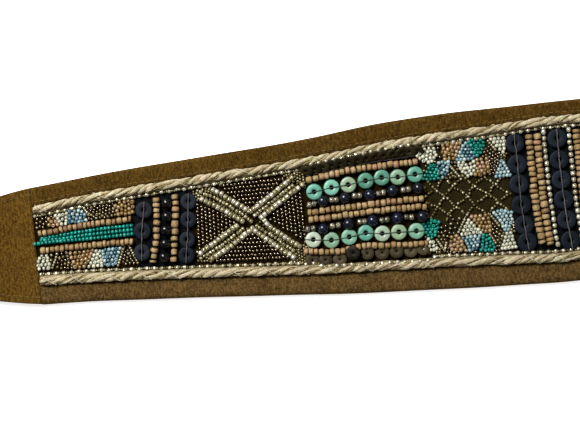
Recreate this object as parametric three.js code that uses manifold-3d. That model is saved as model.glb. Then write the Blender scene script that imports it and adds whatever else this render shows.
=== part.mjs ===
import * as THREE from 'three';
import { mergeVertices } from 'three/addons/utils/BufferGeometryUtils.js';
import Module from 'manifold-3d';

// A beaded belt that lies flat: X runs along it, Y across it, Z up from the surface it rests on.
// All sizes are in millimetres. The left end, at -X, carries the buckle, and the right end is the tip.
const wasm = await Module();
wasm.setup();

// Driving dimensions
const fieldHalf = 264.3;        // from the middle to the seam where the beading ends
const beltHalf = 450;           // from the middle to the outermost point of either end
const halfWidth = 45.3;         // half the greatest width, at the middle
const upperBand = 9;            // suede strip above the beading
const lowerBand = 10.2;         // suede strip below the beading
const strapHalf = 19;           // half width of the plain strap at both ends
const taperLength = 75;         // from the seam to where the strap runs parallel
const backingThick = 1.8;       // suede layer underneath
const groundThick = 1.2;        // cloth that the beads are sewn to
const coverThick = 2.2;         // suede of the strips and end tabs, above the backing
const lipWidth = 1.5;           // part of a strip that folds down over the backing's edge
const clearance = 0.3;          // gap between neighbouring pieces
const cordRadius = 1.95;
const stripSteps = 18;          // stretches along a strip, and along a cord
const tubeSides = 8;

const turquoiseRadius = 4.05;
const turquoiseHole = 1.15;
const turquoiseThick = 2.6;
const smallNavyRadius = 4.15;
const largeNavyRadius = 4.65;
const navyThick = 2.1;
const navyTilt = 4;             // degrees that each navy disc leans on the one below
const threadWidth = 0.7;        // thread between neighbouring discs
const roundSides = 10;
const rowRoundRadius = 2.5;     // navy balls between pairs of silver beads
const columnRoundRadius = 2.65;
const spacerRadius = 1.2;       // silver beads
const woodRadius = 1.6;
const columnWoodRadius = 1.7;
const middleWoodRadius = 1.9;
const brownHalf = 2.4;          // half width of the row of dark discs that overlap
const brownThick = 2.6;
const columnGap = 0.5;          // between the bead columns in the middle of the belt

const buckleLength = 38;
const frameSide = 4.6;
const frameThick = 2.8;
const frameBevel = 0.5;
const frameSlack = 0.6;         // between the strap's edge and the frame
const barWidth = 2.8;
const outerBar = 5;
const loopHole = 2;             // radius of the loop that holds the buckle's bar
const loopWall = 1.7;
const loopLeg = 28;             // leather turned back underneath
const pegRadius = 1.5;
const pegHeight = 4.2;
const tipLength = 24;
const sizeHoles = 5;
const sizeHoleRadius = 2.2;
const firstHoleFromTip = 45;
const lastHoleFromSeam = 40.7;

const groundTop = backingThick + groundThick;
const coverTop = backingThick + coverThick;
const beadBase = groundTop + clearance;
const tabStart = fieldHalf + clearance;
const loopRadius = loopHole + loopWall;
const barCentre = beltHalf - buckleLength + barWidth / 2;
const sizeHolePitch = (beltHalf - fieldHalf - firstHoleFromTip - lastHoleFromSeam) / (sizeHoles - 1);

// Outline from the middle (along 0) to the seam (along 1). The edges are shares of halfWidth, and the
// strips shares of upperBand and lowerBand.
const outlineRows = [
  { along: 0, top: 1, bottom: 1, upper: 0.8, lower: 0.98 },
  { along: 0.08, top: 0.998, bottom: 0.985, upper: 0.9, lower: 1.01 },
  { along: 0.15, top: 0.994, bottom: 0.967, upper: 0.95, lower: 1.06 },
  { along: 0.23, top: 0.99, bottom: 0.946, upper: 1.03, lower: 1.08 },
  { along: 0.3, top: 0.975, bottom: 0.924, upper: 1.06, lower: 1.08 },
  { along: 0.38, top: 0.932, bottom: 0.901, upper: 1.05, lower: 1.06 },
  { along: 0.49, top: 0.861, bottom: 0.853, upper: 1.03, lower: 1 },
  { along: 0.6, top: 0.818, bottom: 0.798, upper: 0.99, lower: 0.98 },
  { along: 0.72, top: 0.778, bottom: 0.748, upper: 1.01, lower: 0.97 },
  { along: 0.83, top: 0.735, bottom: 0.704, upper: 0.98, lower: 0.965 },
  { along: 0.93, top: 0.689, bottom: 0.669, upper: 0.99, lower: 0.955 },
  { along: 1, top: 0.648, bottom: 0.654, upper: 1.02, lower: 0.93 },
];

// How much of the flare is left from the seam (along 0) to the parallel strap (along 1).
const taperRows = [
  { along: 0, flare: 1 },
  { along: 0.1, flare: 0.9 },
  { along: 0.21, flare: 0.75 },
  { along: 0.34, flare: 0.56 },
  { along: 0.5, flare: 0.34 },
  { along: 0.7, flare: 0.14 },
  { along: 0.87, flare: 0.03 },
  { along: 1, flare: 0 },
];

// Routes of the bead strings on one half of the belt, as [along, across]. Along is the share of the way
// from the middle to the seam. Across is 0 on the panel's centre line, 1 at the upper cord's centre and
// -1 at the lower one's.
const stringRoutes = {
  stripeWoodUpper: [[0.993, 0.318], [0.946, 0.34], [0.87, 0.34], [0.816, 0.333]],
  stripeWoodLower: [[0.993, -0.15], [0.946, -0.168], [0.87, -0.18], [0.816, -0.182]],
  columnDiscsOuter: [[0.79, 0.515], [0.7975, 0.034], [0.802, -0.466]],
  columnDiscsInner: [[0.7045, 0.586], [0.708, 0.19], [0.7135, -0.288], [0.718, -0.606]],
  columnWoodOuter: [[0.7645, 0.76], [0.766, 0.4], [0.77, 0.1], [0.773, -0.22], [0.783, -0.715]],
  columnWoodInner: [[0.7285, 0.77], [0.731, 0.38], [0.734, 0.06], [0.738, -0.17], [0.7445, -0.725]],
  columnRounds: [
    [0.7455, 0.745], [0.7465, 0.62], [0.7485, 0.32], [0.7515, 0.015], [0.7555, -0.29], [0.761, -0.6],
    [0.764, -0.725],
  ],
  rowWoodTop: [[0.48, 0.665], [0.424, 0.685], [0.367, 0.69], [0.318, 0.668], [0.263, 0.658]],
  rowWoodPairUpper: [[0.483, 0.067], [0.424, 0.064], [0.367, 0.062], [0.318, 0.06], [0.26, 0.05]],
  rowWoodPairLower: [[0.483, -0.07], [0.424, -0.063], [0.367, -0.06], [0.318, -0.065], [0.258, -0.078]],
  rowWoodBottom: [
    [0.498, -0.64], [0.4775, -0.66], [0.443, -0.685], [0.41, -0.662], [0.3775, -0.622],
    [0.347, -0.655], [0.315, -0.66], [0.282, -0.668], [0.263, -0.665],
  ],
  rowBrownTop: [[0.478, 0.828], [0.424, 0.842], [0.367, 0.845], [0.318, 0.834], [0.263, 0.83]],
  rowBrownBottom: [
    [0.47, -0.832], [0.443, -0.842], [0.41, -0.835], [0.3775, -0.812], [0.347, -0.818], [0.268, -0.822],
  ],
  rowTurquoiseUpper: [
    [0.4665, 0.438], [0.433, 0.458], [0.401, 0.46], [0.368, 0.47], [0.337, 0.462], [0.306, 0.448],
    [0.2735, 0.452],
  ],
  rowTurquoiseLower: [
    [0.4775, -0.441], [0.4435, -0.477], [0.4095, -0.446], [0.3775, -0.406], [0.3465, -0.452],
    [0.315, -0.456], [0.282, -0.466],
  ],
  rowRoundsUpper: [
    [0.4795, 0.212], [0.452, 0.222], [0.4105, 0.226], [0.363, 0.222], [0.32, 0.238], [0.2705, 0.228],
    [0.2605, 0.228],
  ],
  rowRoundsLower: [
    [0.4875, -0.232], [0.457, -0.245], [0.4085, -0.214], [0.3625, -0.213], [0.316, -0.222],
    [0.2685, -0.238], [0.2585, -0.238],
  ],
};

// Places across the panel of the discs and strings in the columns at the middle of the belt.
const middlePlaces = {
  sideDiscs: [0.739, 0.408, 0.123, -0.192, -0.4925, -0.745],
  centreDiscs: [0.735, 0.416, 0.125, -0.166, -0.456, -0.755],
  strings: [0.845, 0.3, -0.3, -0.8],
};

// The columns in the middle of the belt lean towards +X at their foot. Lean is in millimetres.
const middleLean = [
  { across: -1, lean: 1.6 },
  { across: -0.75, lean: 1.3 },
  { across: -0.45, lean: 0.6 },
  { across: -0.15, lean: 0.1 },
  { across: 0.4, lean: 0 },
  { across: 1, lean: 0 },
];

// Materials
const suede = new THREE.MeshStandardMaterial({ color: 0x664a22, roughness: 0.95, metalness: 0 });
const cloth = new THREE.MeshStandardMaterial({ color: 0x2b2118, roughness: 0.95, metalness: 0 });
const cordYarn = new THREE.MeshStandardMaterial({ color: 0xcbbb99, roughness: 0.8, metalness: 0 });
const turquoise = new THREE.MeshStandardMaterial({ color: 0x69c4ad, roughness: 0.35, metalness: 0 });
const navy = new THREE.MeshStandardMaterial({ color: 0x222a3d, roughness: 0.4, metalness: 0 });
const wood = new THREE.MeshStandardMaterial({ color: 0xbf9468, roughness: 0.6, metalness: 0 });
const brown = new THREE.MeshStandardMaterial({ color: 0x2a211a, roughness: 0.4, metalness: 0 });
const silver = new THREE.MeshStandardMaterial({ color: 0xb9ae9a, roughness: 0.3, metalness: 0.8 });
const brass = new THREE.MeshStandardMaterial({ color: 0xa98a4c, roughness: 0.35, metalness: 0.9 });

const belt = new THREE.Group();

function addPiece(name, geometry, material) {
  const mesh = new THREE.Mesh(geometry, material);
  mesh.name = name;
  belt.add(mesh);
}

function toSolid(geometry) {
  const bare = geometry.clone();
  bare.deleteAttribute('normal');
  bare.deleteAttribute('uv');
  const merged = mergeVertices(bare, 1e-4);
  const vertProperties = new Float32Array(merged.attributes.position.array);
  const triVerts = new Uint32Array(merged.index.array);
  return new wasm.Manifold(new wasm.Mesh({ numProp: 3, vertProperties, triVerts }));
}

function toGeometry(solid) {
  const mesh = solid.getMesh();
  const geometry = new THREE.BufferGeometry();
  geometry.setAttribute('position', new THREE.BufferAttribute(mesh.vertProperties, 3));
  geometry.setIndex(new THREE.BufferAttribute(mesh.triVerts, 1));
  return geometry;
}

// Value of one column of a table at a place between its rows, by a smooth curve through the rows.
function readRows(rows, key, column, place) {
  const at = THREE.MathUtils.clamp(place, rows[0][key], rows[rows.length - 1][key]);
  let i = 0;
  while (i < rows.length - 2 && at > rows[i + 1][key]) i += 1;
  const slope = (a, b) => (rows[b][column] - rows[a][column]) / (rows[b][key] - rows[a][key]);
  const here = slope(i, i + 1);
  const before = i > 0 ? (slope(i - 1, i) + here) / 2 : 0;
  const after = i < rows.length - 2 ? (slope(i + 1, i + 2) + here) / 2 : here;
  const span = rows[i + 1][key] - rows[i][key];
  const t = (at - rows[i][key]) / span;
  const rise = t * t * (3 - 2 * t);
  const curve = t * (1 - t) * ((1 - t) * before - t * after) * span;
  return rows[i][column] + (rows[i + 1][column] - rows[i][column]) * rise + curve;
}

// Belt outline: side is 1 for the upper edge and -1 for the lower one.
function edgeAt(x, side) {
  const column = side > 0 ? 'top' : 'bottom';
  const atField = readRows(outlineRows, 'along', column, Math.abs(x) / fieldHalf) * halfWidth;
  if (Math.abs(x) <= fieldHalf) return side * atField;
  const flare = readRows(taperRows, 'along', 'flare', (Math.abs(x) - fieldHalf) / taperLength);
  return side * (strapHalf + (atField - strapHalf) * flare);
}

function bandAt(x, side) {
  const along = Math.abs(x) / fieldHalf;
  if (side > 0) return readRows(outlineRows, 'along', 'upper', along) * upperBand;
  return readRows(outlineRows, 'along', 'lower', along) * lowerBand;
}

function cordAt(x, side) {
  return edgeAt(x, side) - side * (bandAt(x, side) + clearance + cordRadius);
}

// A place on the bead panel.
function panelY(x, across) {
  const upper = cordAt(x, 1);
  const lower = cordAt(x, -1);
  return (upper + lower) / 2 + across * (upper - lower) / 2;
}

// Moves every vertex of a geometry to place(vertex).
function warp(geometry, place) {
  const positions = geometry.attributes.position;
  const vertex = new THREE.Vector3();
  for (let i = 0; i < positions.count; i += 1) {
    vertex.fromBufferAttribute(positions, i);
    const moved = place(vertex);
    positions.setXYZ(i, moved.x, moved.y, moved.z);
  }
  return geometry;
}

function polygon(points) {
  return new THREE.Shape(points.map(([x, y]) => new THREE.Vector2(x, y)));
}

// Suede strip along one edge of the field, folded down over the backing's edge.
function borderStrip(side) {
  const band = side > 0 ? upperBand : lowerBand;
  const section = polygon([
    [lipWidth, 0], [lipWidth, backingThick], [band, backingThick], [band, 0.85 * coverTop],
    [band - 1.2, coverTop], [1.3 * lipWidth, coverTop], [0, 0.7 * coverTop], [0, 0.15 * coverTop],
    [0.3 * lipWidth, 0],
  ]);
  const strip = new THREE.ExtrudeGeometry(section, {
    depth: 2 * fieldHalf, steps: stripSteps, bevelEnabled: false,
  });
  return warp(strip, (v) => {
    const x = side * (fieldHalf - v.z);
    const stretch = (bandAt(x, side) - lipWidth) / (band - lipWidth);
    const inward = v.x <= lipWidth ? v.x : lipWidth + (v.x - lipWidth) * stretch;
    return new THREE.Vector3(x, edgeAt(x, side) - side * inward, v.y);
  });
}

function beadGround() {
  const half = 1;
  const section = polygon([[-half, backingThick], [half, backingThick], [half, groundTop], [-half, groundTop]]);
  const sheet = new THREE.ExtrudeGeometry(section, {
    depth: 2 * fieldHalf, steps: stripSteps, bevelEnabled: false,
  });
  return warp(sheet, (v) => {
    const x = v.z - fieldHalf;
    const side = Math.sign(v.x);
    return new THREE.Vector3(x, edgeAt(x, side) - side * (bandAt(x, side) + clearance), v.y);
  });
}

// Edge of the plain strap from a start towards the tip, which is a half ellipse.
function tipEdge(x, side) {
  const past = (Math.abs(x) - (beltHalf - tipLength)) / tipLength;
  const round = past > 0 ? Math.sqrt(Math.max(0, 1 - past * past)) : 1;
  return edgeAt(x, side) * round;
}

// Distances from the middle at which a tab's outline is drawn.
function tabStations(start, end) {
  const stations = [start];
  for (const row of taperRows.slice(1)) {
    const station = fieldHalf + row.along * taperLength;
    if (station < end - clearance) stations.push(station);
  }
  if (end === beltHalf) {
    const turns = [1, 0.8, 0.6, 0.4, 0.2];
    for (const turn of turns) stations.push(beltHalf - tipLength + tipLength * Math.cos(turn * Math.PI / 2));
  }
  stations.push(end);
  return stations;
}

function sizeHolePaths() {
  const paths = [];
  for (let i = 0; i < sizeHoles; i += 1) {
    const path = new THREE.Path();
    path.absarc(beltHalf - firstHoleFromTip - i * sizeHolePitch, 0, sizeHoleRadius, 0, Math.PI * 2, true);
    paths.push(path);
  }
  return paths;
}

function flatSheet(points, holes, bottom, thick) {
  const shape = polygon(points);
  shape.holes.push(...holes);
  const sheet = new THREE.ExtrudeGeometry(shape, { depth: thick, bevelEnabled: false, curveSegments: 4 });
  return sheet.translate(0, 0, bottom);
}

function dropRepeats(points) {
  return points.filter(([x, y], i) => {
    const [px, py] = points[(i + points.length - 1) % points.length];
    return Math.hypot(x - px, y - py) > 1e-3;
  });
}

// Suede under the whole belt. Along the field it stops inside the strips' folded lips.
function suedeBacking() {
  const fieldStations = [];
  for (let i = 0; i <= stripSteps; i += 1) fieldStations.push(-fieldHalf + i * 2 * fieldHalf / stripSteps);
  const inset = lipWidth + clearance;
  const leftEnd = barCentre - loopRadius - loopLeg;
  const leftTab = tabStations(tabStart, leftEnd).reverse();
  const rightTab = tabStations(tabStart, beltHalf);
  const lower = [
    ...leftTab.map((a) => [-a, edgeAt(-a, -1)]),
    ...fieldStations.map((x) => [x, edgeAt(x, -1) + inset]),
    ...rightTab.map((a) => [a, tipEdge(a, -1)]),
  ];
  const upper = [
    ...leftTab.map((a) => [-a, edgeAt(-a, 1)]),
    ...fieldStations.map((x) => [x, edgeAt(x, 1) - inset]),
    ...rightTab.map((a) => [a, tipEdge(a, 1)]),
  ];
  return flatSheet(dropRepeats([...lower, ...upper.reverse()]), sizeHolePaths(), 0, backingThick);
}

function rightTab() {
  const stations = tabStations(tabStart, beltHalf);
  const lower = stations.map((a) => [a, tipEdge(a, -1)]);
  const upper = stations.map((a) => [a, tipEdge(a, 1)]);
  return flatSheet(dropRepeats([...lower, ...upper.reverse()]), sizeHolePaths(), backingThick, coverThick);
}

// The left tab runs over the backing, round the buckle's bar and back underneath.
function leftTab() {
  const legEnd = barCentre - loopRadius - loopLeg + clearance;
  const side = new THREE.Shape();
  side.moveTo(tabStart, backingThick);
  side.lineTo(legEnd, backingThick);
  side.lineTo(legEnd, 0);
  side.lineTo(barCentre, 0);
  side.absarc(barCentre, loopRadius, loopRadius, -Math.PI / 2, Math.PI * 0.62, false);
  side.lineTo(barCentre - 3.2 * loopRadius, coverTop);
  side.lineTo(tabStart, coverTop);
  side.closePath();
  const bore = new THREE.Path();
  bore.absarc(barCentre, loopRadius, loopHole, 0, Math.PI * 2, true);
  side.holes.push(bore);
  const folded = new THREE.ExtrudeGeometry(side, {
    depth: 2 * halfWidth, bevelEnabled: false, curveSegments: 7,
  });
  folded.rotateX(Math.PI / 2).translate(0, halfWidth, 0).rotateZ(Math.PI);

  const stations = tabStations(tabStart, barCentre + 2 * loopRadius);
  const lower = stations.map((a) => [-a, edgeAt(-a, -1)]);
  const upper = stations.map((a) => [-a, edgeAt(-a, 1)]);
  const outline = flatSheet([...upper, ...lower.reverse()], [], -1, 4 * loopRadius);
  return toGeometry(toSolid(folded).intersect(toSolid(outline)));
}

function roundedBox(target, x0, x1, y0, y1, radius) {
  target.moveTo(x0 + radius, y0);
  target.lineTo(x1 - radius, y0);
  target.absarc(x1 - radius, y0 + radius, radius, -Math.PI / 2, 0, false);
  target.lineTo(x1, y1 - radius);
  target.absarc(x1 - radius, y1 - radius, radius, 0, Math.PI / 2, false);
  target.lineTo(x0 + radius, y1);
  target.absarc(x0 + radius, y1 - radius, radius, Math.PI / 2, Math.PI, false);
  target.lineTo(x0, y0 + radius);
  target.absarc(x0 + radius, y0 + radius, radius, Math.PI, Math.PI * 1.5, false);
  return target;
}

// One plain frame with a fixed peg on its outer bar.
function buckle() {
  const inner = strapHalf + frameSlack;
  const outer = inner + frameSide;
  const strapSide = -(barCentre - barWidth / 2);
  const shape = roundedBox(new THREE.Shape(), -beltHalf, strapSide, -outer, outer, 2.4);
  const hole = roundedBox(new THREE.Path(), -beltHalf + outerBar, strapSide - barWidth, -inner, inner, 1.6);
  shape.holes.push(hole);
  const frame = new THREE.ExtrudeGeometry(shape, {
    depth: frameThick - 2 * frameBevel, bevelEnabled: true, bevelThickness: frameBevel,
    bevelSize: frameBevel, bevelOffset: -frameBevel, bevelSegments: 1, curveSegments: 2,
  });
  frame.translate(0, 0, loopRadius - frameThick / 2 + frameBevel);
  const pegProfile = [
    [0, 0], [pegRadius, 0], [pegRadius, 0.75 * pegHeight], [pegRadius + clearance, 0.85 * pegHeight],
    [pegRadius, pegHeight], [0, pegHeight + clearance],
  ];
  const peg = new THREE.LatheGeometry(pegProfile.map(([x, y]) => new THREE.Vector2(x, y)), roundSides);
  peg.rotateX(Math.PI / 2).translate(-beltHalf + outerBar / 2, 0, loopRadius + frameThick / 2 - frameBevel);
  return toGeometry(toSolid(frame).add(toSolid(peg)));
}

// Points of a route on one half of the belt: side is -1 for the left half and 1 for the right one.
function routePoints(route, side, height) {
  return route.map(([along, across]) => {
    const x = side * along * fieldHalf;
    return new THREE.Vector3(x, panelY(x, across), height);
  });
}

function middlePoints(places, x, height) {
  return places.map((across) => {
    const lean = readRows(middleLean, 'across', 'lean', across);
    return new THREE.Vector3(x + lean, panelY(x, across), height);
  });
}

function tube(points, radius, steps) {
  const section = new THREE.Shape().absarc(0, 0, radius, 0, Math.PI * 2, false);
  const extrudePath = new THREE.CatmullRomCurve3(points);
  return new THREE.ExtrudeGeometry(section, { steps, curveSegments: tubeSides / 2, extrudePath });
}

function edgeCord(side) {
  const points = [];
  const end = fieldHalf - clearance;
  for (let i = 0; i <= stripSteps; i += 1) {
    const x = -end + i * 2 * end / stripSteps;
    points.push(new THREE.Vector3(x, cordAt(x, side), beadBase + cordRadius));
  }
  return tube(points, cordRadius, stripSteps);
}

// A string's centre line as a function of the share of its length, with the direction to its left.
function followRoute(points) {
  const curve = new THREE.CatmullRomCurve3(points);
  return (share) => {
    const centre = curve.getPointAt(THREE.MathUtils.clamp(share, 0, 1));
    const heading = curve.getTangentAt(THREE.MathUtils.clamp(share, 0, 1));
    return { centre, left: new THREE.Vector3(-heading.y, heading.x, 0).normalize() };
  };
}

// A flat strip with round edges for a row of discs that overlap.
function overlappedRow(points) {
  const section = polygon([
    [-brownHalf, 0.3 * brownThick], [-0.8 * brownHalf, 0], [0.8 * brownHalf, 0], [brownHalf, 0.3 * brownThick],
    [brownHalf, 0.7 * brownThick], [0.8 * brownHalf, brownThick], [-0.8 * brownHalf, brownThick],
    [-brownHalf, 0.7 * brownThick],
  ]);
  const strip = new THREE.ExtrudeGeometry(section, { depth: 1, steps: 5, bevelEnabled: false });
  const follow = followRoute(points);
  return warp(strip, (v) => {
    const { centre, left } = follow(v.z);
    return centre.addScaledVector(left, v.x).setZ(beadBase + v.y);
  });
}

// Discs sewn down in a row: each overlaps the next, or a short thread joins them rim to rim.
function discString(points, ring, tilt) {
  const radius = Math.max(...ring.map(([x]) => x));
  let string = null;
  points.forEach((point, i) => {
    const disc = new THREE.LatheGeometry(ring.map(([x, y]) => new THREE.Vector2(x, y)), roundSides);
    disc.rotateX(Math.PI / 2 + THREE.MathUtils.degToRad(i % 2 ? tilt : -tilt));
    disc.translate(point.x, point.y, point.z);
    string = string ? string.add(toSolid(disc)) : toSolid(disc);
    if (i === 0) return;
    const from = points[i - 1];
    const gap = point.distanceTo(from) - 1.7 * radius;
    if (gap < 0.15 * radius) return;
    const thread = new THREE.BoxGeometry(gap, threadWidth, threadWidth);
    thread.rotateZ(Math.atan2(point.y - from.y, point.x - from.x));
    thread.translate((point.x + from.x) / 2, (point.y + from.y) / 2, point.z);
    string = string.add(toSolid(thread));
  });
  return toGeometry(string);
}

function washerRing(radius, hole, thick) {
  const half = thick / 2;
  return [[hole, -half], [radius, -half], [radius, half], [hole, half], [hole, -half]];
}

function plainRing(radius, thick) {
  const half = thick / 2;
  return [[0, -half], [radius, -half], [radius, half], [0, half]];
}

// Navy balls on a string of silver beads. The first and last points are the string's ends.
function roundString(points, radius) {
  const lengths = [0];
  for (let i = 1; i < points.length; i += 1) lengths.push(lengths[i - 1] + points[i].distanceTo(points[i - 1]));
  const total = lengths[lengths.length - 1];
  const profile = [[0, 0], [spacerRadius, 0]];
  for (const middle of lengths.slice(1, -1)) {
    const low = Math.max(middle - 0.9 * radius, clearance);
    const high = Math.min(middle + 0.9 * radius, total - clearance);
    profile.push([spacerRadius, low], [radius, middle - 0.38 * radius]);
    profile.push([radius, middle + 0.38 * radius], [spacerRadius, high]);
  }
  profile.push([spacerRadius, total], [0, total]);
  const beads = new THREE.LatheGeometry(profile.map(([x, y]) => new THREE.Vector2(x, y)), roundSides);
  const follow = followRoute(points);
  return warp(beads, (v) => {
    const { centre, left } = follow(v.y / total);
    const placed = centre.addScaledVector(left, -v.x);
    placed.z += v.z;
    return placed;
  });
}

addPiece('suede_backing', suedeBacking(), suede);
addPiece('bead_ground', beadGround(), cloth);
addPiece('upper_border', borderStrip(1), suede);
addPiece('lower_border', borderStrip(-1), suede);
addPiece('left_tab', leftTab(), suede);
addPiece('right_tab', rightTab(), suede);
addPiece('buckle', buckle(), brass);
addPiece('upper_cord', edgeCord(1), cordYarn);
addPiece('lower_cord', edgeCord(-1), cordYarn);

const sides = [{ word: 'left', sign: -1 }, { word: 'right', sign: 1 }];

// Strings of wood beads on both halves, as tubes of the beads' outer size.
const woodTubes = [
  { name: 'stripe_wood_upper', route: stringRoutes.stripeWoodUpper, radius: woodRadius, steps: 2 },
  { name: 'stripe_wood_lower', route: stringRoutes.stripeWoodLower, radius: woodRadius, steps: 2 },
  { name: 'column_wood_outer', route: stringRoutes.columnWoodOuter, radius: columnWoodRadius, steps: 3 },
  { name: 'column_wood_inner', route: stringRoutes.columnWoodInner, radius: columnWoodRadius, steps: 3 },
  { name: 'row_wood_top', route: stringRoutes.rowWoodTop, radius: woodRadius, steps: 4 },
  { name: 'row_wood_pair_upper', route: stringRoutes.rowWoodPairUpper, radius: woodRadius, steps: 3 },
  { name: 'row_wood_pair_lower', route: stringRoutes.rowWoodPairLower, radius: woodRadius, steps: 3 },
  { name: 'row_wood_bottom', route: stringRoutes.rowWoodBottom, radius: woodRadius, steps: 8 },
];
const turquoiseRing = washerRing(turquoiseRadius, turquoiseHole, turquoiseThick);
const smallNavyRing = plainRing(smallNavyRadius, navyThick);
const largeNavyRing = plainRing(largeNavyRadius, navyThick);
const tiltRise = Math.sin(THREE.MathUtils.degToRad(navyTilt));

for (const { word, sign } of sides) {
  for (const { name, route, radius, steps } of woodTubes) {
    addPiece(`${word}_${name}`, tube(routePoints(route, sign, beadBase + radius), radius, steps), wood);
  }

  for (const level of ['Top', 'Bottom']) {
    const points = routePoints(stringRoutes[`rowBrown${level}`], sign, beadBase);
    addPiece(`${word}_row_brown_${level.toLowerCase()}`, overlappedRow(points), brown);
  }

  for (const level of ['Upper', 'Lower']) {
    const discs = routePoints(stringRoutes[`rowTurquoise${level}`], sign, beadBase + turquoiseThick / 2);
    addPiece(`${word}_row_turquoise_${level.toLowerCase()}`, discString(discs, turquoiseRing, 0), turquoise);
    const balls = routePoints(stringRoutes[`rowRounds${level}`], sign, beadBase + rowRoundRadius);
    addPiece(`${word}_row_rounds_${level.toLowerCase()}`, roundString(balls, rowRoundRadius), navy);
  }

  const discHeight = beadBase + navyThick / 2 + smallNavyRadius * tiltRise;
  for (const place of ['Outer', 'Inner']) {
    const discs = routePoints(stringRoutes[`columnDiscs${place}`], sign, discHeight);
    addPiece(`${word}_column_discs_${place.toLowerCase()}`, discString(discs, smallNavyRing, navyTilt), navy);
  }
  const balls = routePoints(stringRoutes.columnRounds, sign, beadBase + columnRoundRadius);
  addPiece(`${word}_column_rounds`, roundString(balls, columnRoundRadius), navy);
}

// Columns in the middle of the belt, each placed beside the one before it.
const silverX = largeNavyRadius + columnGap + spacerRadius;
const innerWoodX = silverX + spacerRadius + columnGap + middleWoodRadius;
const outerWoodX = innerWoodX + 2 * middleWoodRadius + clearance;
const sideDiscX = outerWoodX + middleWoodRadius + columnGap + largeNavyRadius;
const middleHeight = beadBase + navyThick / 2 + largeNavyRadius * tiltRise;
const centrePoints = middlePoints(middlePlaces.centreDiscs, 0, middleHeight);
addPiece('centre_discs', discString(centrePoints, largeNavyRing, navyTilt), navy);

const middleTubes = [
  { name: 'silver', x: silverX, radius: spacerRadius, material: silver },
  { name: 'wood_inner', x: innerWoodX, radius: middleWoodRadius, material: wood },
  { name: 'wood_outer', x: outerWoodX, radius: middleWoodRadius, material: wood },
];
for (const { word, sign } of sides) {
  const discs = middlePoints(middlePlaces.sideDiscs, sign * sideDiscX, middleHeight);
  addPiece(`${word}_middle_discs`, discString(discs, largeNavyRing, navyTilt), navy);
  for (const { name, x, radius, material } of middleTubes) {
    const points = middlePoints(middlePlaces.strings, sign * x, beadBase + radius);
    addPiece(`${word}_middle_${name}`, tube(points, radius, 4), material);
  }
}

export default belt;
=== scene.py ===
import math

import bmesh
import bpy
import numpy as np
from bpy.props import FloatProperty, FloatVectorProperty, IntProperty, PointerProperty
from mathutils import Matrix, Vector


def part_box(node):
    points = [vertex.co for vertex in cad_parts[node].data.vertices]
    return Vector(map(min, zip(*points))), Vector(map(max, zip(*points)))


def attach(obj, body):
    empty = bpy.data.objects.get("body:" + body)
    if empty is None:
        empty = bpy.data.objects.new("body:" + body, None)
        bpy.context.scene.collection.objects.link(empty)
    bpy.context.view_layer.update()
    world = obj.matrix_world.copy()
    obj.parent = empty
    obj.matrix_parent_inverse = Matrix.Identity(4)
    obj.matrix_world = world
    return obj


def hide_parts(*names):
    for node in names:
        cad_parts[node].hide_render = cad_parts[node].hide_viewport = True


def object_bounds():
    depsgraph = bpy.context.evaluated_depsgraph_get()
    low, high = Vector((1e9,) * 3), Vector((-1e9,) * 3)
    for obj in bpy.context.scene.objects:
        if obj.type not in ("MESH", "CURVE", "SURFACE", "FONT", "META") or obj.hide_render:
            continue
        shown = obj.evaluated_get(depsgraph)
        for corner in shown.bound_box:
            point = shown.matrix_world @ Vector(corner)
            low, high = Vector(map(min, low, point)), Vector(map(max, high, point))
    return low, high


bl_info = {
    "name": "Beaded belt",
    "version": (1, 0, 0),
    "blender": (4, 5, 0),
    "location": "View3D > Sidebar > Belt",
    "description": "Dresses the belt with suede, cloth, cords, discs, wood beads and seed beads",
    "category": "Object",
}

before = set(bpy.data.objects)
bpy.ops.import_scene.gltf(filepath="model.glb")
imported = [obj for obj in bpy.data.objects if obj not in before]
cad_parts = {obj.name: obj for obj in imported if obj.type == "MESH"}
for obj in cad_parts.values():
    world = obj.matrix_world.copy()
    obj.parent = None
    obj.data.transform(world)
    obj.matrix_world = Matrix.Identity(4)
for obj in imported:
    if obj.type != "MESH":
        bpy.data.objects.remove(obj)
cad_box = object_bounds()

MM = 0.001
HALVES = (("left", -1), ("right", 1))
# Places below are in millimetres on the left half, measured from a line this far below the middle.
MIDLINE = 0.3

# Heights above the surface that the belt lies on.
CLOTH_TOP = 3.0
BEAD_BASE = 3.1
SUEDE_TOP = 4.0
BACKING_TOP = 1.8
CORD_CENTRE = 5.25

TIP_LENGTH = 24.0
STRAIGHT_END = 427
STRAP_HALF = 18.9
BUCKLE_LOOP = 3.7
HOLE_RADIUS = 2.2
# How far the borders cover the edge of the cloth.
TUCK = 0.3

# Step along the plain straps, and numbers of stations along the borders and along the cloth.
STRAP_GRAIN = 2.0
BORDER_STATIONS = 265
FIELD_STATIONS = 133
# A long node's corners lie in groups at least this far apart.
SECTION_GAP = 4.0
# How often packed beads settle in their shares.
SETTLE_ROUNDS = 14
# How sharply the cloth changes colour from zone to zone, for each metre.
ZONE_EDGE = 400
DISC_THICK = 1.9
DISC_LEAN = 4.0
# Width of the camera's sensor.
SENSOR = 36


# Sizes and places read from the frame.

def node_points(name):
    """Corners of a CAD node in millimetres, each once."""
    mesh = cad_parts[name].data
    flat = np.empty(len(mesh.vertices) * 3)
    mesh.vertices.foreach_get("co", flat)
    return np.unique(np.round(flat.reshape(-1, 3) / MM, 3), axis=0)


def sections(points, axis=0):
    """A long node's corners, split where it was sampled along its length."""
    ordered = points[np.argsort(points[:, axis])]
    breaks = np.nonzero(np.diff(ordered[:, axis]) > SECTION_GAP)[0] + 1
    return np.split(ordered, breaks)


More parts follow.
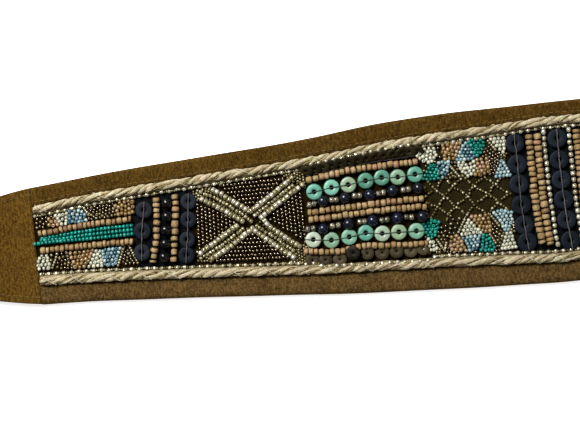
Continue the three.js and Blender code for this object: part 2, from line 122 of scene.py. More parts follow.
def smooth(xs, ys):
    """A function that bends evenly through the given points."""
    xs, ys = np.asarray(xs, float), np.asarray(ys, float)
    slopes = np.gradient(ys, xs)

    def read(x):
        x = np.clip(x, xs[0], xs[-1])
        i = np.clip(np.searchsorted(xs, x, side="right") - 1, 0, len(xs) - 2)
        span = xs[i + 1] - xs[i]
        t = (x - xs[i]) / span
        start = (1 + 2 * t) * (1 - t) ** 2 * ys[i] + t * (1 - t) ** 2 * span * slopes[i]
        end = t * t * (3 - 2 * t) * ys[i + 1] + t * t * (t - 1) * span * slopes[i + 1]
        return start + end

    return read


def middle_line(name, axis=0):
    """Centre points along a long node, from one end to the other."""
    return np.array([part.mean(0) for part in sections(node_points(name), axis)])


def cord_height(name):
    line = middle_line(name)
    return smooth(line[:, 0], line[:, 1])


def border_edges(name, side):
    """Outer and inner edge of a suede border as functions of the place along the belt."""
    parts = sections(node_points(name))
    xs = [part[:, 0].mean() for part in parts]
    outer = [side * (side * part[:, 1]).max() for part in parts]
    inner = [side * (side * part[:, 1]).min() for part in parts]
    return smooth(xs, outer), smooth(xs, inner)


def tab_edge(name):
    """Half width of an end tab, as a function of the distance from the belt's middle."""
    points = node_points(name)
    points = points[(np.abs(points[:, 1]) > 8) & (points[:, 2] > BACKING_TOP - 0.01)]
    wide = {}
    for x, y, _ in points:
        wide[abs(x)] = max(wide.get(abs(x), 0), y)
    # The round tip doesn't count, nor does the buckle's fold.
    xs = np.array(sorted(x for x in wide if wide[x] > STRAP_HALF and x < STRAIGHT_END))
    return smooth(xs, [wide[x] for x in xs])


upper_cord_y = cord_height("upper_cord")
lower_cord_y = cord_height("lower_cord")
border_lines = {"upper": border_edges("upper_border", 1), "lower": border_edges("lower_border", -1)}
tab_half = {"left": tab_edge("left_tab"), "right": tab_edge("right_tab")}
FIELD_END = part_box("upper_border")[1].x / MM
BELT_END = cad_box[1].x / MM
CORD_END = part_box("upper_cord")[1].x / MM


def size_holes():
    """Middles of the punched holes along the right tab."""
    points = node_points("right_tab")
    near = points[(np.abs(points[:, 1]) < 3) & (points[:, 0] < BELT_END - 20)]
    return [(part[:, 0].min() + part[:, 0].max()) / 2 for part in sections(near)]


# Sizes and colours that a user may change.

class BeltBeads(bpy.types.PropertyGroup):
    """Bead sizes."""

    seed: FloatProperty(
        name="Seed bead", description="Width of the coloured seed beads", default=0.002, unit="LENGTH")
    bronze: FloatProperty(
        name="Bronze bead", description="Width of the dark bronze seed beads", default=0.00165, unit="LENGTH")
    silver: FloatProperty(
        name="Silver bead", description="Width of the beads of the cross", default=0.0027, unit="LENGTH")
    lattice: FloatProperty(
        name="Lattice bead", description="Width of the beads of the lattice", default=0.0012, unit="LENGTH")
    seed_value: IntProperty(
        name="Random seed", description="Changes how the beads happen to lie", default=11, min=0)


class BeltColours(bpy.types.PropertyGroup):
    """Main colours."""

    suede: FloatVectorProperty(
        name="Suede", description="Colour of the suede", subtype="COLOR", default=(0.0462, 0.0245, 0.0046))
    cord: FloatVectorProperty(
        name="Cord", description="Colour of the twisted cords", subtype="COLOR",
        default=(0.47, 0.405, 0.26))
    teal: FloatVectorProperty(
        name="Teal", description="Colour of the teal seed beads", subtype="COLOR",
        default=(0.0, 0.145, 0.112))
    blue: FloatVectorProperty(
        name="Blue", description="Colour of the blue seed beads", subtype="COLOR",
        default=(0.115, 0.222, 0.25))
    white: FloatVectorProperty(
        name="White", description="Colour of the white seed beads", subtype="COLOR",
        default=(0.44, 0.44, 0.335))
    wood: FloatVectorProperty(
        name="Wood", description="Colour of the wood beads", subtype="COLOR", default=(0.26, 0.165, 0.072))
    navy: FloatVectorProperty(
        name="Navy", description="Colour of the large round discs", subtype="COLOR",
        default=(0.0032, 0.0057, 0.0104))


class BeltView(bpy.types.PropertyGroup):
    """Camera and light."""

    width: FloatProperty(
        name="View width", description="Length of belt across the picture", default=0.29, unit="LENGTH")
    lens: FloatProperty(name="Lens", description="Focal length in millimetres", default=90.0)
    turn: FloatProperty(
        name="Turn", description="How far the belt is turned in the picture", default=math.radians(5.93),
        subtype="ANGLE")
    middle: FloatVectorProperty(
        name="Middle", description="Place on the belt in the middle of the picture", subtype="TRANSLATION",
        unit="LENGTH", default=(-0.13665, 0.00107, 0.004))
    key: FloatProperty(name="Key light", description="Power of the main light in watts", default=28.0)


# Finishes.

class Number:
    """A node's output that takes part in Python expressions."""

    def __init__(self, finish, socket):
        self.finish = finish
        self.socket = socket

    def __add__(self, other):
        return self.finish.maths("ADD", self, other)

    def __radd__(self, other):
        return self.finish.maths("ADD", other, self)

    def __sub__(self, other):
        return self.finish.maths("SUBTRACT", self, other)

    def __rsub__(self, other):
        return self.finish.maths("SUBTRACT", other, self)

    def __mul__(self, other):
        return self.finish.maths("MULTIPLY", self, other)

    def __rmul__(self, other):
        return self.finish.maths("MULTIPLY", other, self)


class Finish:
    """One material: a Principled shader, and one method that makes every other node."""

    def __init__(self, name, **constants):
        self.material = bpy.data.materials.new(name)
        self.material.use_nodes = True
        self.tree = self.material.node_tree
        self.tree.nodes.clear()
        self.shader = self.tree.nodes.new("ShaderNodeBsdfPrincipled")
        output = self.tree.nodes.new("ShaderNodeOutputMaterial")
        self.tree.links.new(self.shader.outputs["BSDF"], output.inputs["Surface"])
        for socket, value in constants.items():
            self.shader.inputs[socket.replace("_", " ")].default_value = value

    def feed(self, socket, value):
        if isinstance(value, Number):
            self.tree.links.new(value.socket, socket)
        else:
            socket.default_value = value

    def node(self, kind, settings, sockets, outlet=0):
        """Any node: its type, its settings, the values or links of its sockets, and the output in use."""
        made = self.tree.nodes.new("ShaderNode" + kind)
        for key, value in settings.items():
            if key == "stops":
                while len(made.color_ramp.elements) < len(value):
                    made.color_ramp.elements.new(0.5)
                for element, (place, colour) in zip(made.color_ramp.elements, value):
                    element.position = place
                    element.color = (*colour, 1)
            else:
                setattr(made, key, value)
        by_name = {socket.identifier: socket for socket in made.inputs}
        for key, value in sockets.items():
            self.feed(by_name[key], value)
        outlets = {socket.identifier: socket for socket in made.outputs}
        return Number(self, outlets[outlet] if isinstance(outlet, str) else made.outputs[outlet])

    def maths(self, operation, first, second):
        return self.node("Math", {"operation": operation}, {"Value": first, "Value_001": second})

    def set(self, socket, value):
        self.feed(self.shader.inputs[socket], value)

    def place(self, scale=(1, 1, 1)):
        """Object coordinates, stretched."""
        return self.node("Mapping", {}, {"Vector": self.node("TexCoord", {}, {}, "Object"), "Scale": scale})

    def along(self, scale):
        """The piece's own UV map, stretched."""
        return self.node("Mapping", {}, {"Vector": self.node("UVMap", {}, {}), "Scale": scale})

    def noise(self, scale, detail, rough=0.5, where=None):
        """Noise at the given places, or else in object coordinates."""
        sockets = {"Vector": where or self.place(), "Scale": scale, "Detail": detail, "Roughness": rough}
        return self.node("TexNoise", {}, sockets, "Fac")

    def attribute(self, name):
        return self.node("Attribute", {"attribute_name": name}, {}, "Fac")

    def mix(self, share, first, second):
        """A colour between two, by the share of the second."""
        sockets = {"Factor_Float": share}
        for key, colour in (("A_Color", first), ("B_Color", second)):
            sockets[key] = colour if isinstance(colour, Number) else (*colour, 1)
        return self.node("Mix", {"data_type": "RGBA"}, sockets, "Result_Color")

    def ramp(self, value, stops):
        return self.node("ValToRGB", {"stops": stops}, {"Fac": value}, "Color")

    def toned(self, stops):
        """A colour from the stops by each copy's own tone."""
        return self.ramp(self.attribute("tone"), stops)

    def relief(self, height, distance, strength=1.0):
        normal = self.node(
            "Bump", {}, {"Height": height, "Distance": distance, "Strength": strength}, "Normal")
        self.set("Normal", normal)


def shade(colour, factor):
    return tuple(min(1.0, part * factor) for part in colour)


def suede_finish(name, colour):
    """Napped suede: soft clouds of tone, short brushed strokes and a fine grain."""
    finish = Finish(name, Roughness=0.95, Specular_IOR_Level=0.0)
    clouds = finish.noise(70, 3, 0.6)
    blotches = finish.noise(430, 3, 0.65)
    strokes = finish.noise(1, 3, 0.6, finish.place((1100, 430, 700)))
    grain = finish.noise(1700, 2, 0.6)
    tone = clouds * 0.35 + blotches * 0.3 + strokes * 1.35 + grain * 1.5 - 1.25
    body = finish.ramp(tone, [(0.2, shade(colour, 0.45)), (0.5, colour), (0.8, shade(colour, 1.9))])
    finish.set("Base Color", body)
    finish.relief(strokes * 0.6 + grain * 0.7 + blotches * 0.35, 0.0006, 0.8)
    return finish.material


def cloth_finish():
    """Dark brown cloth with a fine plain weave: more olive where the net lies on it."""
    finish = Finish("dark_cloth", Roughness=1.0, Specular_IOR_Level=0.02)
    where = finish.place()
    wave = {"Vector": where, "Scale": 420, "Distortion": 1.5, "Detail": 1}
    across, up = (finish.node("TexWave", {"bands_direction": axis}, wave, "Fac") for axis in "XY")
    weave = across * 0.5 + up * 0.5
    thread = weave * 0.5 + finish.noise(300, 3, where=where) * 0.8 - 0.15
    side = finish.maths("ABSOLUTE", finish.node("SeparateXYZ", {}, {"Vector": where}, "X"), 0)

    def between(low, high):
        """Above 1 between two distances from the belt's middle, in metres, and below 0 outside them."""
        return finish.maths("MINIMUM", (side - low) * ZONE_EDGE, (high - side) * ZONE_EDGE)

    net = between(0.024, 0.07)
    plain = finish.mix(thread, (0.0026, 0.0013, 0.0002), (0.0155, 0.0085, 0.0015))
    olive = finish.mix(thread, (0.0055, 0.0043, 0.0009), (0.025, 0.0195, 0.0062))
    # Nearly black beside the navy discs.
    columns = finish.maths("MAXIMUM", between(0.184, 0.216), (0.0255 - side) * ZONE_EDGE)
    inky = finish.mix(thread, (0.001, 0.0011, 0.0014), (0.006, 0.0066, 0.008))
    finish.set("Base Color", finish.mix(columns, finish.mix(net, plain, olive), inky))
    finish.relief(weave, 0.0003)
    return finish.material


def yarn_finish(name, dark, light, streaks, metal=0.0, tints=()):
    """Yarn with fibres along it, from its UV map: along it and then round it. Tints show here and there."""
    finish = Finish(name, Roughness=0.7 - 0.4 * metal, Specular_IOR_Level=0.25, Metallic=metal)
    fibres = finish.noise(1, 3, 0.65, finish.along(streaks))
    wear = finish.noise(250, 3, 0.6)
    fuzz = finish.noise(1300, 2, 0.6)
    spells = finish.noise(28, 1)
    body = finish.mix(fibres * 1.5 + wear * 1.0 + fuzz * 0.7 + spells * 0.5 - 1.25, dark, light)
    for k, tint in enumerate(tints):
        spread = finish.noise(190 + 60 * k, 2, 0.6)
        body = finish.mix(spread * 5 - 2.7 - 0.12 * k, body, tint)
    finish.set("Base Color", body)
    finish.relief(fibres + fuzz * 0.5 + wear * 0.5, 0.0008, 0.9)
    return finish.material


def glass_finish(
        name, stops, rough, metal=0.0, speckle=0.0, coat=0.0, bumps=0.0, shine=0.5, lustre=0.0):
    """Beads whose colour changes from one to the next along the stops. A lustre is a mirror coat's index."""
    finish = Finish(
        name, Metallic=metal, Coat_Weight=1.0 if lustre else coat, Coat_Roughness=0.25 if lustre else 0.08,
        Coat_IOR=lustre or 1.5, Specular_IOR_Level=shine)
    grain = finish.noise(900, 3, 0.6)
    body = finish.mix(grain * (0.35 + speckle), finish.toned(stops), shade(stops[0][1], 0.5))
    finish.set("Base Color", body)
    finish.set("Roughness", grain * 0.12 + rough - 0.06)
    if bumps:
        finish.relief(finish.noise(1500, 1), bumps)
    return finish.material


def wood_finish(name, stops):
    """Bare wood beads: a tone for each bead, fine grain rings, and painted shade darkening each bead towards
    its ends.
    """
    finish = Finish(name, Specular_IOR_Level=0.35)
    grain = finish.noise(900, 3, 0.7)
    smudge = finish.noise(420, 2)
    body = finish.mix(smudge * 0.7 - 0.15, finish.toned(stops), shade(stops[3][1], 1.25))
    body = finish.mix(grain * 3.0 - 1.3, body, shade(stops[0][1], 0.6))
    # Painted shade: each bead darkens towards its ends, into the gaps between the beads, broken up by the
    # smudges.
    end_shade = finish.attribute("end") + smudge * 0.5 - 0.9
    finish.set("Base Color", finish.mix(end_shade * 2.2, body, (0.06, 0.028, 0.009)))
    finish.set("Roughness", grain * 0.2 + 0.52)
    finish.relief(grain, 0.00018, 0.6)
    return finish.material


def stone_finish(name, stops):
    """Pale turquoise stone: each disc has its own tone, with soft clouds and chalky marks."""
    finish = Finish(name, Coat_Weight=0.25, Coat_Roughness=0.25, Specular_IOR_Level=0.4)
    clouds = finish.noise(330, 4, 0.6)
    chalk = finish.noise(1500, 2, 0.6)
    body = finish.mix(clouds * 0.5 - 0.16, finish.toned(stops), (0.34, 0.44, 0.34))
    finish.set("Base Color", finish.mix(chalk * 0.3, body, (0.03, 0.17, 0.12)))
    finish.set("Roughness", chalk * 0.25 + 0.3)
    finish.relief(chalk * 0.5 + clouds, 0.0002, 0.6)
    return finish.material


def disc_finish(name, dark, light, rough, shine):
    """Turned discs with a scuffed face."""
    finish = Finish(name, Specular_IOR_Level=shine)
    scuffs = finish.noise(600, 4, 0.7)
    tone = finish.attribute("tone") * 0.4 + scuffs * 0.8 + finish.noise(200, 2) * 0.4 - 0.35
    finish.set("Base Color", finish.mix(tone, dark, light))
    finish.set("Roughness", scuffs * 0.3 + (rough - 0.15))
    finish.relief(scuffs, 0.0003, 0.7)
    return finish.material


def brass_finish():
    """Aged brass, dull and finely scratched."""
    finish = Finish("aged_brass", Metallic=1.0)
    tarnish = finish.noise(120, 4, 0.6)
    scratches = finish.noise(1, 2, where=finish.place((300, 2500, 900)))
    finish.set("Base Color", finish.mix(tarnish, (0.13, 0.082, 0.026), (0.27, 0.185, 0.07)))
    finish.set("Roughness", tarnish * 0.25 + scratches * 0.2 + 0.36)
    finish.relief(scratches, 0.00006, 0.5)
    return finish.material


# For each thread: dark and light colour, streaks along it and round it, and how metallic it is.
THREADS = {
    "gold_thread": ((0.03, 0.02, 0.006), (0.36, 0.27, 0.11), (420, 3, 1), 0.5),
    "dark_thread": ((0.006, 0.005, 0.004), (0.02, 0.017, 0.014), (40, 3, 1)),
    "cream_thread": ((0.2, 0.17, 0.1), (0.52, 0.46, 0.32), (330, 3, 1)),
    "grey_thread": ((0.02, 0.018, 0.017), (0.11, 0.1, 0.095), (40, 3, 1)),
    "green_thread": ((0.008, 0.014, 0.009), (0.045, 0.06, 0.045), (40, 3, 1)),
    "stitch_thread": ((0.06, 0.036, 0.007), (0.15, 0.105, 0.028), (9, 2, 1)),
}


def make_finishes():
    """Every material by its name."""
    colours = bpy.context.scene.belt_colours
    suede, cord, teal, blue, white, wood, navy = (
        tuple(getattr(colours, key)) for key in BeltColours.__annotations__)
    made = {name: yarn_finish(name, *row) for name, row in THREADS.items()}
    made.update({
        "suede": suede_finish("olive_suede", suede),
        "suede_tab": suede_finish("olive_suede_tab", (suede[0] * 1.32, suede[1] * 1.3, suede[2] * 1.15)),
        "suede_low": suede_finish(
            "olive_suede_brushed", (suede[0] * 1.42, suede[1] * 1.58, suede[2] * 2.75)),
        "cloth": cloth_finish(),
        "cord": yarn_finish("cream_yarn", (0.15, 0.118, 0.055), cord, (75, 9, 1), tints=(
            (0.46, 0.35, 0.27), (0.44, 0.46, 0.3), (0.2, 0.13, 0.06))),
        "cord_core": yarn_finish("olive_yarn", (0.06, 0.043, 0.016), (0.27, 0.215, 0.115), (300, 5, 1)),
        "teal": glass_finish("teal_glass", [
            (0, shade(teal, 0.62)), (0.6, shade(teal, 1.12)), (1, (0.008, 0.26, 0.2))], 0.24, shine=0.4),
        "blue": glass_finish("blue_glass", [
            (0, (0.01, 0.055, 0.085)), (0.35, shade(blue, 0.85)), (0.75, (0.22, 0.34, 0.36)),
            (1, (0.42, 0.5, 0.47))], 0.22),
        "white": glass_finish("white_glass", [(0, shade(white, 0.7)), (1, shade(white, 1.25))], 0.25),
        "tan": glass_finish("tan_beads", [
            (0, (0.1, 0.055, 0.014)), (0.45, (0.22, 0.14, 0.045)), (0.8, (0.3, 0.19, 0.09)),
            (1, (0.34, 0.2, 0.14))], 0.32, coat=0.3),
        "bronze": glass_finish("bronze_glass", [
            (0, (0.085, 0.045, 0.004)), (1, (0.155, 0.093, 0.014))], 0.27, metal=0.93, lustre=2.0),
        "gunmetal": glass_finish("gunmetal_glass", [
            (0, (0.08, 0.062, 0.018)), (0.6, (0.25, 0.21, 0.1)), (1, (0.5, 0.45, 0.3))], 0.34, metal=0.6),
        "silver": glass_finish("silver_lined_glass", [
            (0, (0.2, 0.17, 0.075)), (0.5, (0.42, 0.378, 0.23)), (1, (0.74, 0.7, 0.57))], 0.26, metal=0.5,
            speckle=0.35, bumps=0.0004),
        "silver_pairs": glass_finish("pale_silver", [
            (0, (0.14, 0.125, 0.085)), (1, (0.42, 0.385, 0.29))], 0.2, metal=0.6, speckle=0.4, bumps=0.0004),
        "wood": wood_finish("light_wood", [
            (0, (0.12, 0.06, 0.02)), (0.2, (0.21, 0.13, 0.045)), (0.38, (0.235, 0.18, 0.072)),
            (0.55, wood), (0.75, (0.34, 0.25, 0.12)), (0.88, (0.3, 0.18, 0.085)), (1, (0.31, 0.15, 0.085))]),
        "turquoise": stone_finish("pale_turquoise", [
            (0.0, (0.35, 0.39, 0.3)), (0.12, (0.275, 0.336, 0.246)), (0.25, (0.197, 0.265, 0.156)),
            (0.35, (0.14, 0.235, 0.145)), (0.5, (0.118, 0.27, 0.187)), (0.6, (0.125, 0.36, 0.27)),
            (0.75, (0.065, 0.25, 0.187)), (0.88, (0.045, 0.2, 0.14)), (1.0, (0.03, 0.145, 0.095))]),
        "navy": disc_finish("navy_discs", shade(navy, 0.5), shade(navy, 1.7), 0.6, 0.12),
        "navy_balls": glass_finish("navy_balls", [
            (0, (0.0005, 0.0009, 0.0025)), (0.3, (0.001, 0.002, 0.006)), (0.55, (0.0045, 0.0065, 0.013)),
            (0.8, (0.004, 0.008, 0.026)), (1, (0.002, 0.011, 0.06))], 0.27, speckle=0.45, shine=0.4),
        "brown": disc_finish("brown_discs", (0.003, 0.0023, 0.0004), (0.034, 0.027, 0.011), 0.5, 0.1),
        # The lower row is a paler brown than the upper row.
        "brown_low": disc_finish(
            "brown_discs_worn", (0.004, 0.003, 0.0007), (0.068, 0.054, 0.026), 0.6, 0.12),
        "brass": brass_finish(),
    })
    return made


finishes = {}


# Making meshes.

def skin(rings, bm=None):
    """Adds a skin with flat ends through rings of points, in millimetres, to a new bmesh or the given one."""
    rings = np.asarray(rings, float) * MM
    count, sides = rings.shape[:2]
    bm = bmesh.new() if bm is None else bm
    if bm.loops.layers.uv.active is None:
        bm.loops.layers.uv.new("UVMap")
    made = bmesh.ops.create_grid(bm, x_segments=count - 1, y_segments=sides, size=1, calc_uvs=True)["verts"]
    for vert in made:
        i = round((vert.co.x + 1) / 2 * (count - 1))
        j = round((vert.co.y + 1) / 2 * sides) % sides
        vert.co = rings[i, j]
    faces = {face for vert in made for face in vert.link_faces}
    bmesh.ops.remove_doubles(bm, verts=made, dist=2e-7)
    faces = [face for face in faces if face.is_valid]
    rim = list({edge for face in faces for edge in face.edges if edge.is_boundary})
    faces += bmesh.ops.holes_fill(bm, edges=rim, sides=0)["faces"]
    bmesh.ops.recalc_face_normals(bm, faces=faces)
    return bm


def tangents(path):
    steps = np.gradient(path, axis=0)
    return steps / np.linalg.norm(steps, axis=1)[:, None]


def travelled(path):
    """Length of the way to each point of a path."""
    return np.r_[0, np.cumsum(np.linalg.norm(np.diff(path, axis=0), axis=1))]


def rings_along(path, section, widths=1.0):
    """Rings round a path. A section point is a pair: to the left, and upwards."""
    path = np.asarray(path, float)
    heading = tangents(path)
    left = np.cross((0.0, 0.0, 1.0), heading)
    left /= np.linalg.norm(left, axis=1)[:, None]
    top = np.cross(heading, left)
    shapes = np.broadcast_to(widths, len(path))[:, None, None] * np.asarray(section, float)
    return path[:, None] + shapes[..., :1] * left[:, None] + shapes[..., 1:] * top[:, None]


def circle(radius, sides):
    turn = np.linspace(0, 2 * math.pi, sides, endpoint=False)
    return np.stack([radius * np.cos(turn), radius * np.sin(turn)], 1)


def rounded(points, step):
    """A curve through the points with an even step between its own points."""
    points = np.asarray(points, float)
    chord = travelled(points)
    parts = [smooth(chord, points[:, k]) for k in range(points.shape[1])]
    fine = np.linspace(0, chord[-1], max(8, int(chord[-1] / 0.4)))
    curve = np.stack([part(fine) for part in parts], 1)
    length = travelled(curve)
    even = np.linspace(0, length[-1], max(3, int(round(length[-1] / step)) + 1))
    return np.stack([np.interp(even, length, column) for column in curve.T], 1)


def mesh_from(name, bm):
    mesh = bpy.data.meshes.new(name)
    bm.to_mesh(mesh)
    bm.free()
    return mesh


def object_from(name, data):
    made = bpy.data.objects.new(name, data)
    bpy.context.scene.collection.objects.link(made)
    return made


def finish_piece(name, source, finish, slot, *nodes):
    """Makes the object of a piece from its bmesh or mesh, with its finish, and hides the CAD parts that it
    stands for.
    """
    mesh = mesh_from(name, source) if isinstance(source, bmesh.types.BMesh) else source
    mesh.polygons.foreach_set("use_smooth", np.ones(len(mesh.polygons), bool))
    mesh.materials.append(finishes[finish])
    piece = object_from(name, mesh)
    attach(piece, "root")
    if nodes:
        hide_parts(*nodes)
    return piece


def thread_piece(name, path, radius, sides, finish):
    """A round thread along a path."""
    finish_piece(name, skin(rings_along(path, circle(radius, sides))), finish, "thread")


def turned_shape(outline, steps, axis="X"):
    """A bead or disc, from its outline of pairs: place along the axis, and distance from it."""
    bm = bmesh.new()
    along, out = Vector((1, 0, 0)), Vector((0, 0, 1))
    if axis == "Z":
        along, out = out, along
    verts = [bm.verts.new(along * place + out * far) for place, far in outline]
    pairs = list(zip(verts, verts[1:]))
    if outline[0][1] > 0:
        pairs.append((verts[-1], verts[0]))
    edges = [bm.edges.new(pair) for pair in pairs]
    bmesh.ops.spin(
        bm, geom=verts + edges, axis=along, cent=(0, 0, 0), angle=2 * math.pi, steps=steps,
        use_merge=True, use_duplicate=False)
    bmesh.ops.remove_doubles(bm, verts=bm.verts, dist=1e-5)
    bmesh.ops.recalc_face_normals(bm, faces=bm.faces)
    bm.verts.index_update()
    points = np.array([vert.co for vert in bm.verts])
    corners = [[vert.index for vert in face.verts] for face in bm.faces]
    bm.free()
    return points, np.concatenate(corners), np.array([len(face) for face in corners])


# Bead shapes of width 1, and discs of radius 1 and thickness 1.
SEED = turned_shape([
    (-0.5, 0.2), (-0.43, 0.35), (-0.25, 0.465), (0, 0.505), (0.25, 0.465), (0.43, 0.35), (0.5, 0.2),
    (0, 0.14)], 10)
TUBE = turned_shape([
    (-0.5, 0.2), (-0.47, 0.38), (-0.36, 0.47), (0, 0.5), (0.36, 0.47), (0.47, 0.38), (0.5, 0.2),
    (0, 0.14)], 10)
SMALL_SEED = turned_shape([
    (-0.5, 0.2), (-0.36, 0.41), (0, 0.51), (0.36, 0.41), (0.5, 0.2), (0, 0.14)], 8)
WOOD_BEAD = turned_shape([
    (-0.5, 0.12), (-0.5, 0.33), (-0.46, 0.4), (-0.36, 0.455), (-0.15, 0.495), (0.15, 0.495), (0.36, 0.455),
    (0.46, 0.4), (0.5, 0.33), (0.5, 0.12)], 14)
BALL = turned_shape(
    [(0.5 * math.cos(k * math.pi / 10), max(0.0, 0.5 * math.sin(k * math.pi / 10))) for k in range(11)], 18)
WASHER = turned_shape([
    (-0.5, 0.3), (-0.5, 0.9), (-0.3, 0.98), (0, 1.0), (0.25, 0.985), (0.42, 0.94), (0.5, 0.86), (0.5, 0.45),
    (0.46, 0.34), (0.3, 0.285)], 28, "Z")
DISC = turned_shape([
    (-0.5, 0.23), (-0.5, 0.9), (-0.3, 0.98), (0, 1.0), (0.25, 0.985), (0.42, 0.94), (0.5, 0.84), (0.47, 0.5),
    (0.42, 0.29), (0.25, 0.24)], 28, "Z")
THIN_DISC = turned_shape([
    (-0.5, 0.14), (-0.5, 0.93), (0, 1.0), (0.5, 0.93), (0.42, 0.5), (0.5, 0.14)], 22, "Z")
STITCH = turned_shape(
    [(-0.5, 0.0), (-0.47, 0.3), (-0.3, 0.47), (0.3, 0.47), (0.47, 0.3), (0.5, 0.0)], 6)


def spot(x, y, z, size, turn, tilt=0.0, roll=0.0, tone=0.5):
    """One copy of a shape: its place and size in millimetres, its turns in radians, and its tone."""
    return (x, y, z, turn, tilt, roll, *size, tone)


def strew(name, shape, spots, finish, slot, *nodes):
    """One piece of many copies of a shape."""
    points, corners, counts = shape
    rows = np.asarray(spots, float)
    x, y, z, turn, tilt, roll, sx, sy, sz, tone = rows.T[:, :, None]
    px, py, pz = points.T[:, None, :]
    px, py, pz = px * sx, py * sy, pz * sz
    py, pz = py * np.cos(roll) - pz * np.sin(roll), py * np.sin(roll) + pz * np.cos(roll)
    px, pz = px * np.cos(tilt) + pz * np.sin(tilt), pz * np.cos(tilt) - px * np.sin(tilt)
    px, py = px * np.cos(turn) - py * np.sin(turn), px * np.sin(turn) + py * np.cos(turn)
    where = np.stack([px + x, py + y, pz + z], 2).reshape(-1, 3) * MM
    copies = len(rows)
    mesh = bpy.data.meshes.new(name)
    mesh.vertices.add(len(where))
    mesh.vertices.foreach_set("co", where.ravel())
    mesh.loops.add(len(corners) * copies)
    shift = np.repeat(np.arange(copies) * len(points), len(corners))
    mesh.loops.foreach_set("vertex_index", np.tile(corners, copies) + shift)
    mesh.polygons.add(len(counts) * copies)
    starts = np.r_[0, np.cumsum(np.tile(counts, copies))[:-1]]
    mesh.polygons.foreach_set("loop_start", starts)
    ends = mesh.attributes.new("end", "FLOAT", "POINT")
    ends.data.foreach_set("value", np.tile(np.abs(points[:, 0]) * 2, copies).astype(np.float32))
    tones = mesh.attributes.new("tone", "FLOAT", "POINT")
    tones.data.foreach_set("value", np.repeat(tone, len(points)).astype(np.float32))
    mesh.update(calc_edges=True)
    mesh.validate()
    return finish_piece(name, mesh, finish, slot, *nodes)


def chance(*words):
    """A random source of its own for each piece, so that one piece doesn't change another."""
    text = "".join(str(word) for word in words)
    number = sum((i + 1) * ord(letter) for i, letter in enumerate(text))
    return np.random.default_rng(number * 7 + bpy.context.scene.belt_beads.seed_value)


def walk(points, pitch):
    """Even places along a route, with the heading at each: rows of x, y and angle."""
    line = rounded(points, pitch)
    heading = tangents(line)
    return [(x, y, math.atan2(b, a)) for (x, y), (a, b) in zip(line[:, :2], heading[:, :2])]


def inside(outline, x, y):
    """Whether points lie within an outline, for numbers or arrays of them."""
    odd = np.zeros(np.shape(x), bool)
    for (ax, ay), (bx, by) in zip(outline, outline[1:] + outline[:1]):
        if ay != by:
            odd ^= ((ay > y) != (by > y)) & (x < ax + (y - ay) / (by - ay) * (bx - ax))
    return odd


def rows_in(outline, pitch, row_gap, base, rng):
    """Places in rows that fill an outline. The rows run along the base, a pair of points."""
    (ax, ay), (bx, by) = base
    turn = math.atan2(by - ay, bx - ax)
    c, s = math.cos(turn), math.sin(turn)
    reach = max(math.hypot(x - ax, y - ay) for x, y in outline)
    places = []
    for row in range(-int(reach / row_gap) - 1, int(reach / row_gap) + 2):
        shift = (row % 2) * 0.5 * pitch + rng.uniform(-0.15, 0.15) * pitch
        for k in range(-int(reach / pitch) - 1, int(reach / pitch) + 2):
            u = k * pitch + shift + rng.normal(0, 0.05) * pitch
            v = row * row_gap + rng.normal(0, 0.05) * row_gap
            x, y = ax + u * c - v * s, ay + u * s + v * c
            if inside(outline, x, y):
                places.append((x, y, turn))
    return places


def packed(outline, pitch, rng, turn, taken, gap):
    """Places that fill an outline clear of the taken ones: rows at first, then each settles in its share."""
    step = pitch / 6
    corners = np.array(outline)
    low, high = corners.min(0), corners.max(0)
    grid = np.meshgrid(np.arange(low[0], high[0], step), np.arange(low[1], high[1], step))
    x, y = (part.ravel() for part in grid)
    free = inside(outline, x, y)
    for tx, ty, _ in taken:
        free &= np.hypot(x - tx, y - ty) > gap
    x, y = x[free], y[free]
    count = int(round(len(x) * step ** 2 / (0.88 * pitch ** 2)))
    if count < 1:
        return []
    middle = corners.mean(0)
    base = (middle, middle + (math.cos(turn), math.sin(turn)))
    rows = [(a, b) for a, b, _ in rows_in(outline, pitch, 0.87 * pitch, base, rng)
            if np.hypot(x - a, y - b).min() < step][:count]
    px, py = np.array(rows or [(x[0], y[0])]).T
    while len(px) < count:
        far = ((x[:, None] - px) ** 2 + (y[:, None] - py) ** 2).min(1).argmax()
        px, py = np.append(px, x[far]), np.append(py, y[far])
    for _ in range(SETTLE_ROUNDS):
        owner = ((x[:, None] - px) ** 2 + (y[:, None] - py) ** 2).argmin(1)
        share = np.maximum(np.bincount(owner, minlength=count), 1)
        px = np.bincount(owner, x, count) / share
        py = np.bincount(owner, y, count) / share
    return [(a, b, turn) for a, b in zip(px, py)]


def clear_of(places, taken, gap):
    """Those places that keep a distance from the taken ones."""
    return [place for place in places
            if all(math.hypot(place[0] - x, place[1] - y) > gap for x, y, _ in taken)]


def mirrored(points, sign):
    """Points measured on the left half, for either half, and raised to the frame's middle line."""
    return [(-sign * x, y + MIDLINE) for x, y in points]


# Suede.

def edge_ring(x, low, high, bottom, top, soft):
    """Cross-section of a flat strap at one place, with soft edges: points of a closed ring."""
    soft = min(soft, (top - bottom) / 2, abs(high - low) / 2.2)
    middle = (bottom + top) / 2
    flat = (top - bottom) / 2 - soft
    corner = [math.radians(a) for a in (-90, -60, -30, 0, 30, 60, 90)]
    shares = (0.98, 0.9, 0.75, 0.5, 0.25, 0.1, 0.02)
    ring = []
    for edge, side, angles in ((high, 1, corner), (low, -1, corner[::-1])):
        for a in angles:
            lift = flat if a > 0 else -flat
            ring.append((
                x, edge - side * soft + side * soft * math.cos(a), middle + lift + soft * math.sin(a)))
        for share in shares[::side]:
            ring.append((x, low + soft + share * (high - low - 2 * soft), top if side > 0 else bottom))
    return ring


def ripple(x, y, size, height):
    """A low unevenness of hand cut leather, the same at each run."""
    a = math.sin(x / size + 1.7 * math.sin(y / size * 0.8)) + math.sin(x / size * 0.37 + y / size * 1.3 + 2)
    return height * a * 0.5


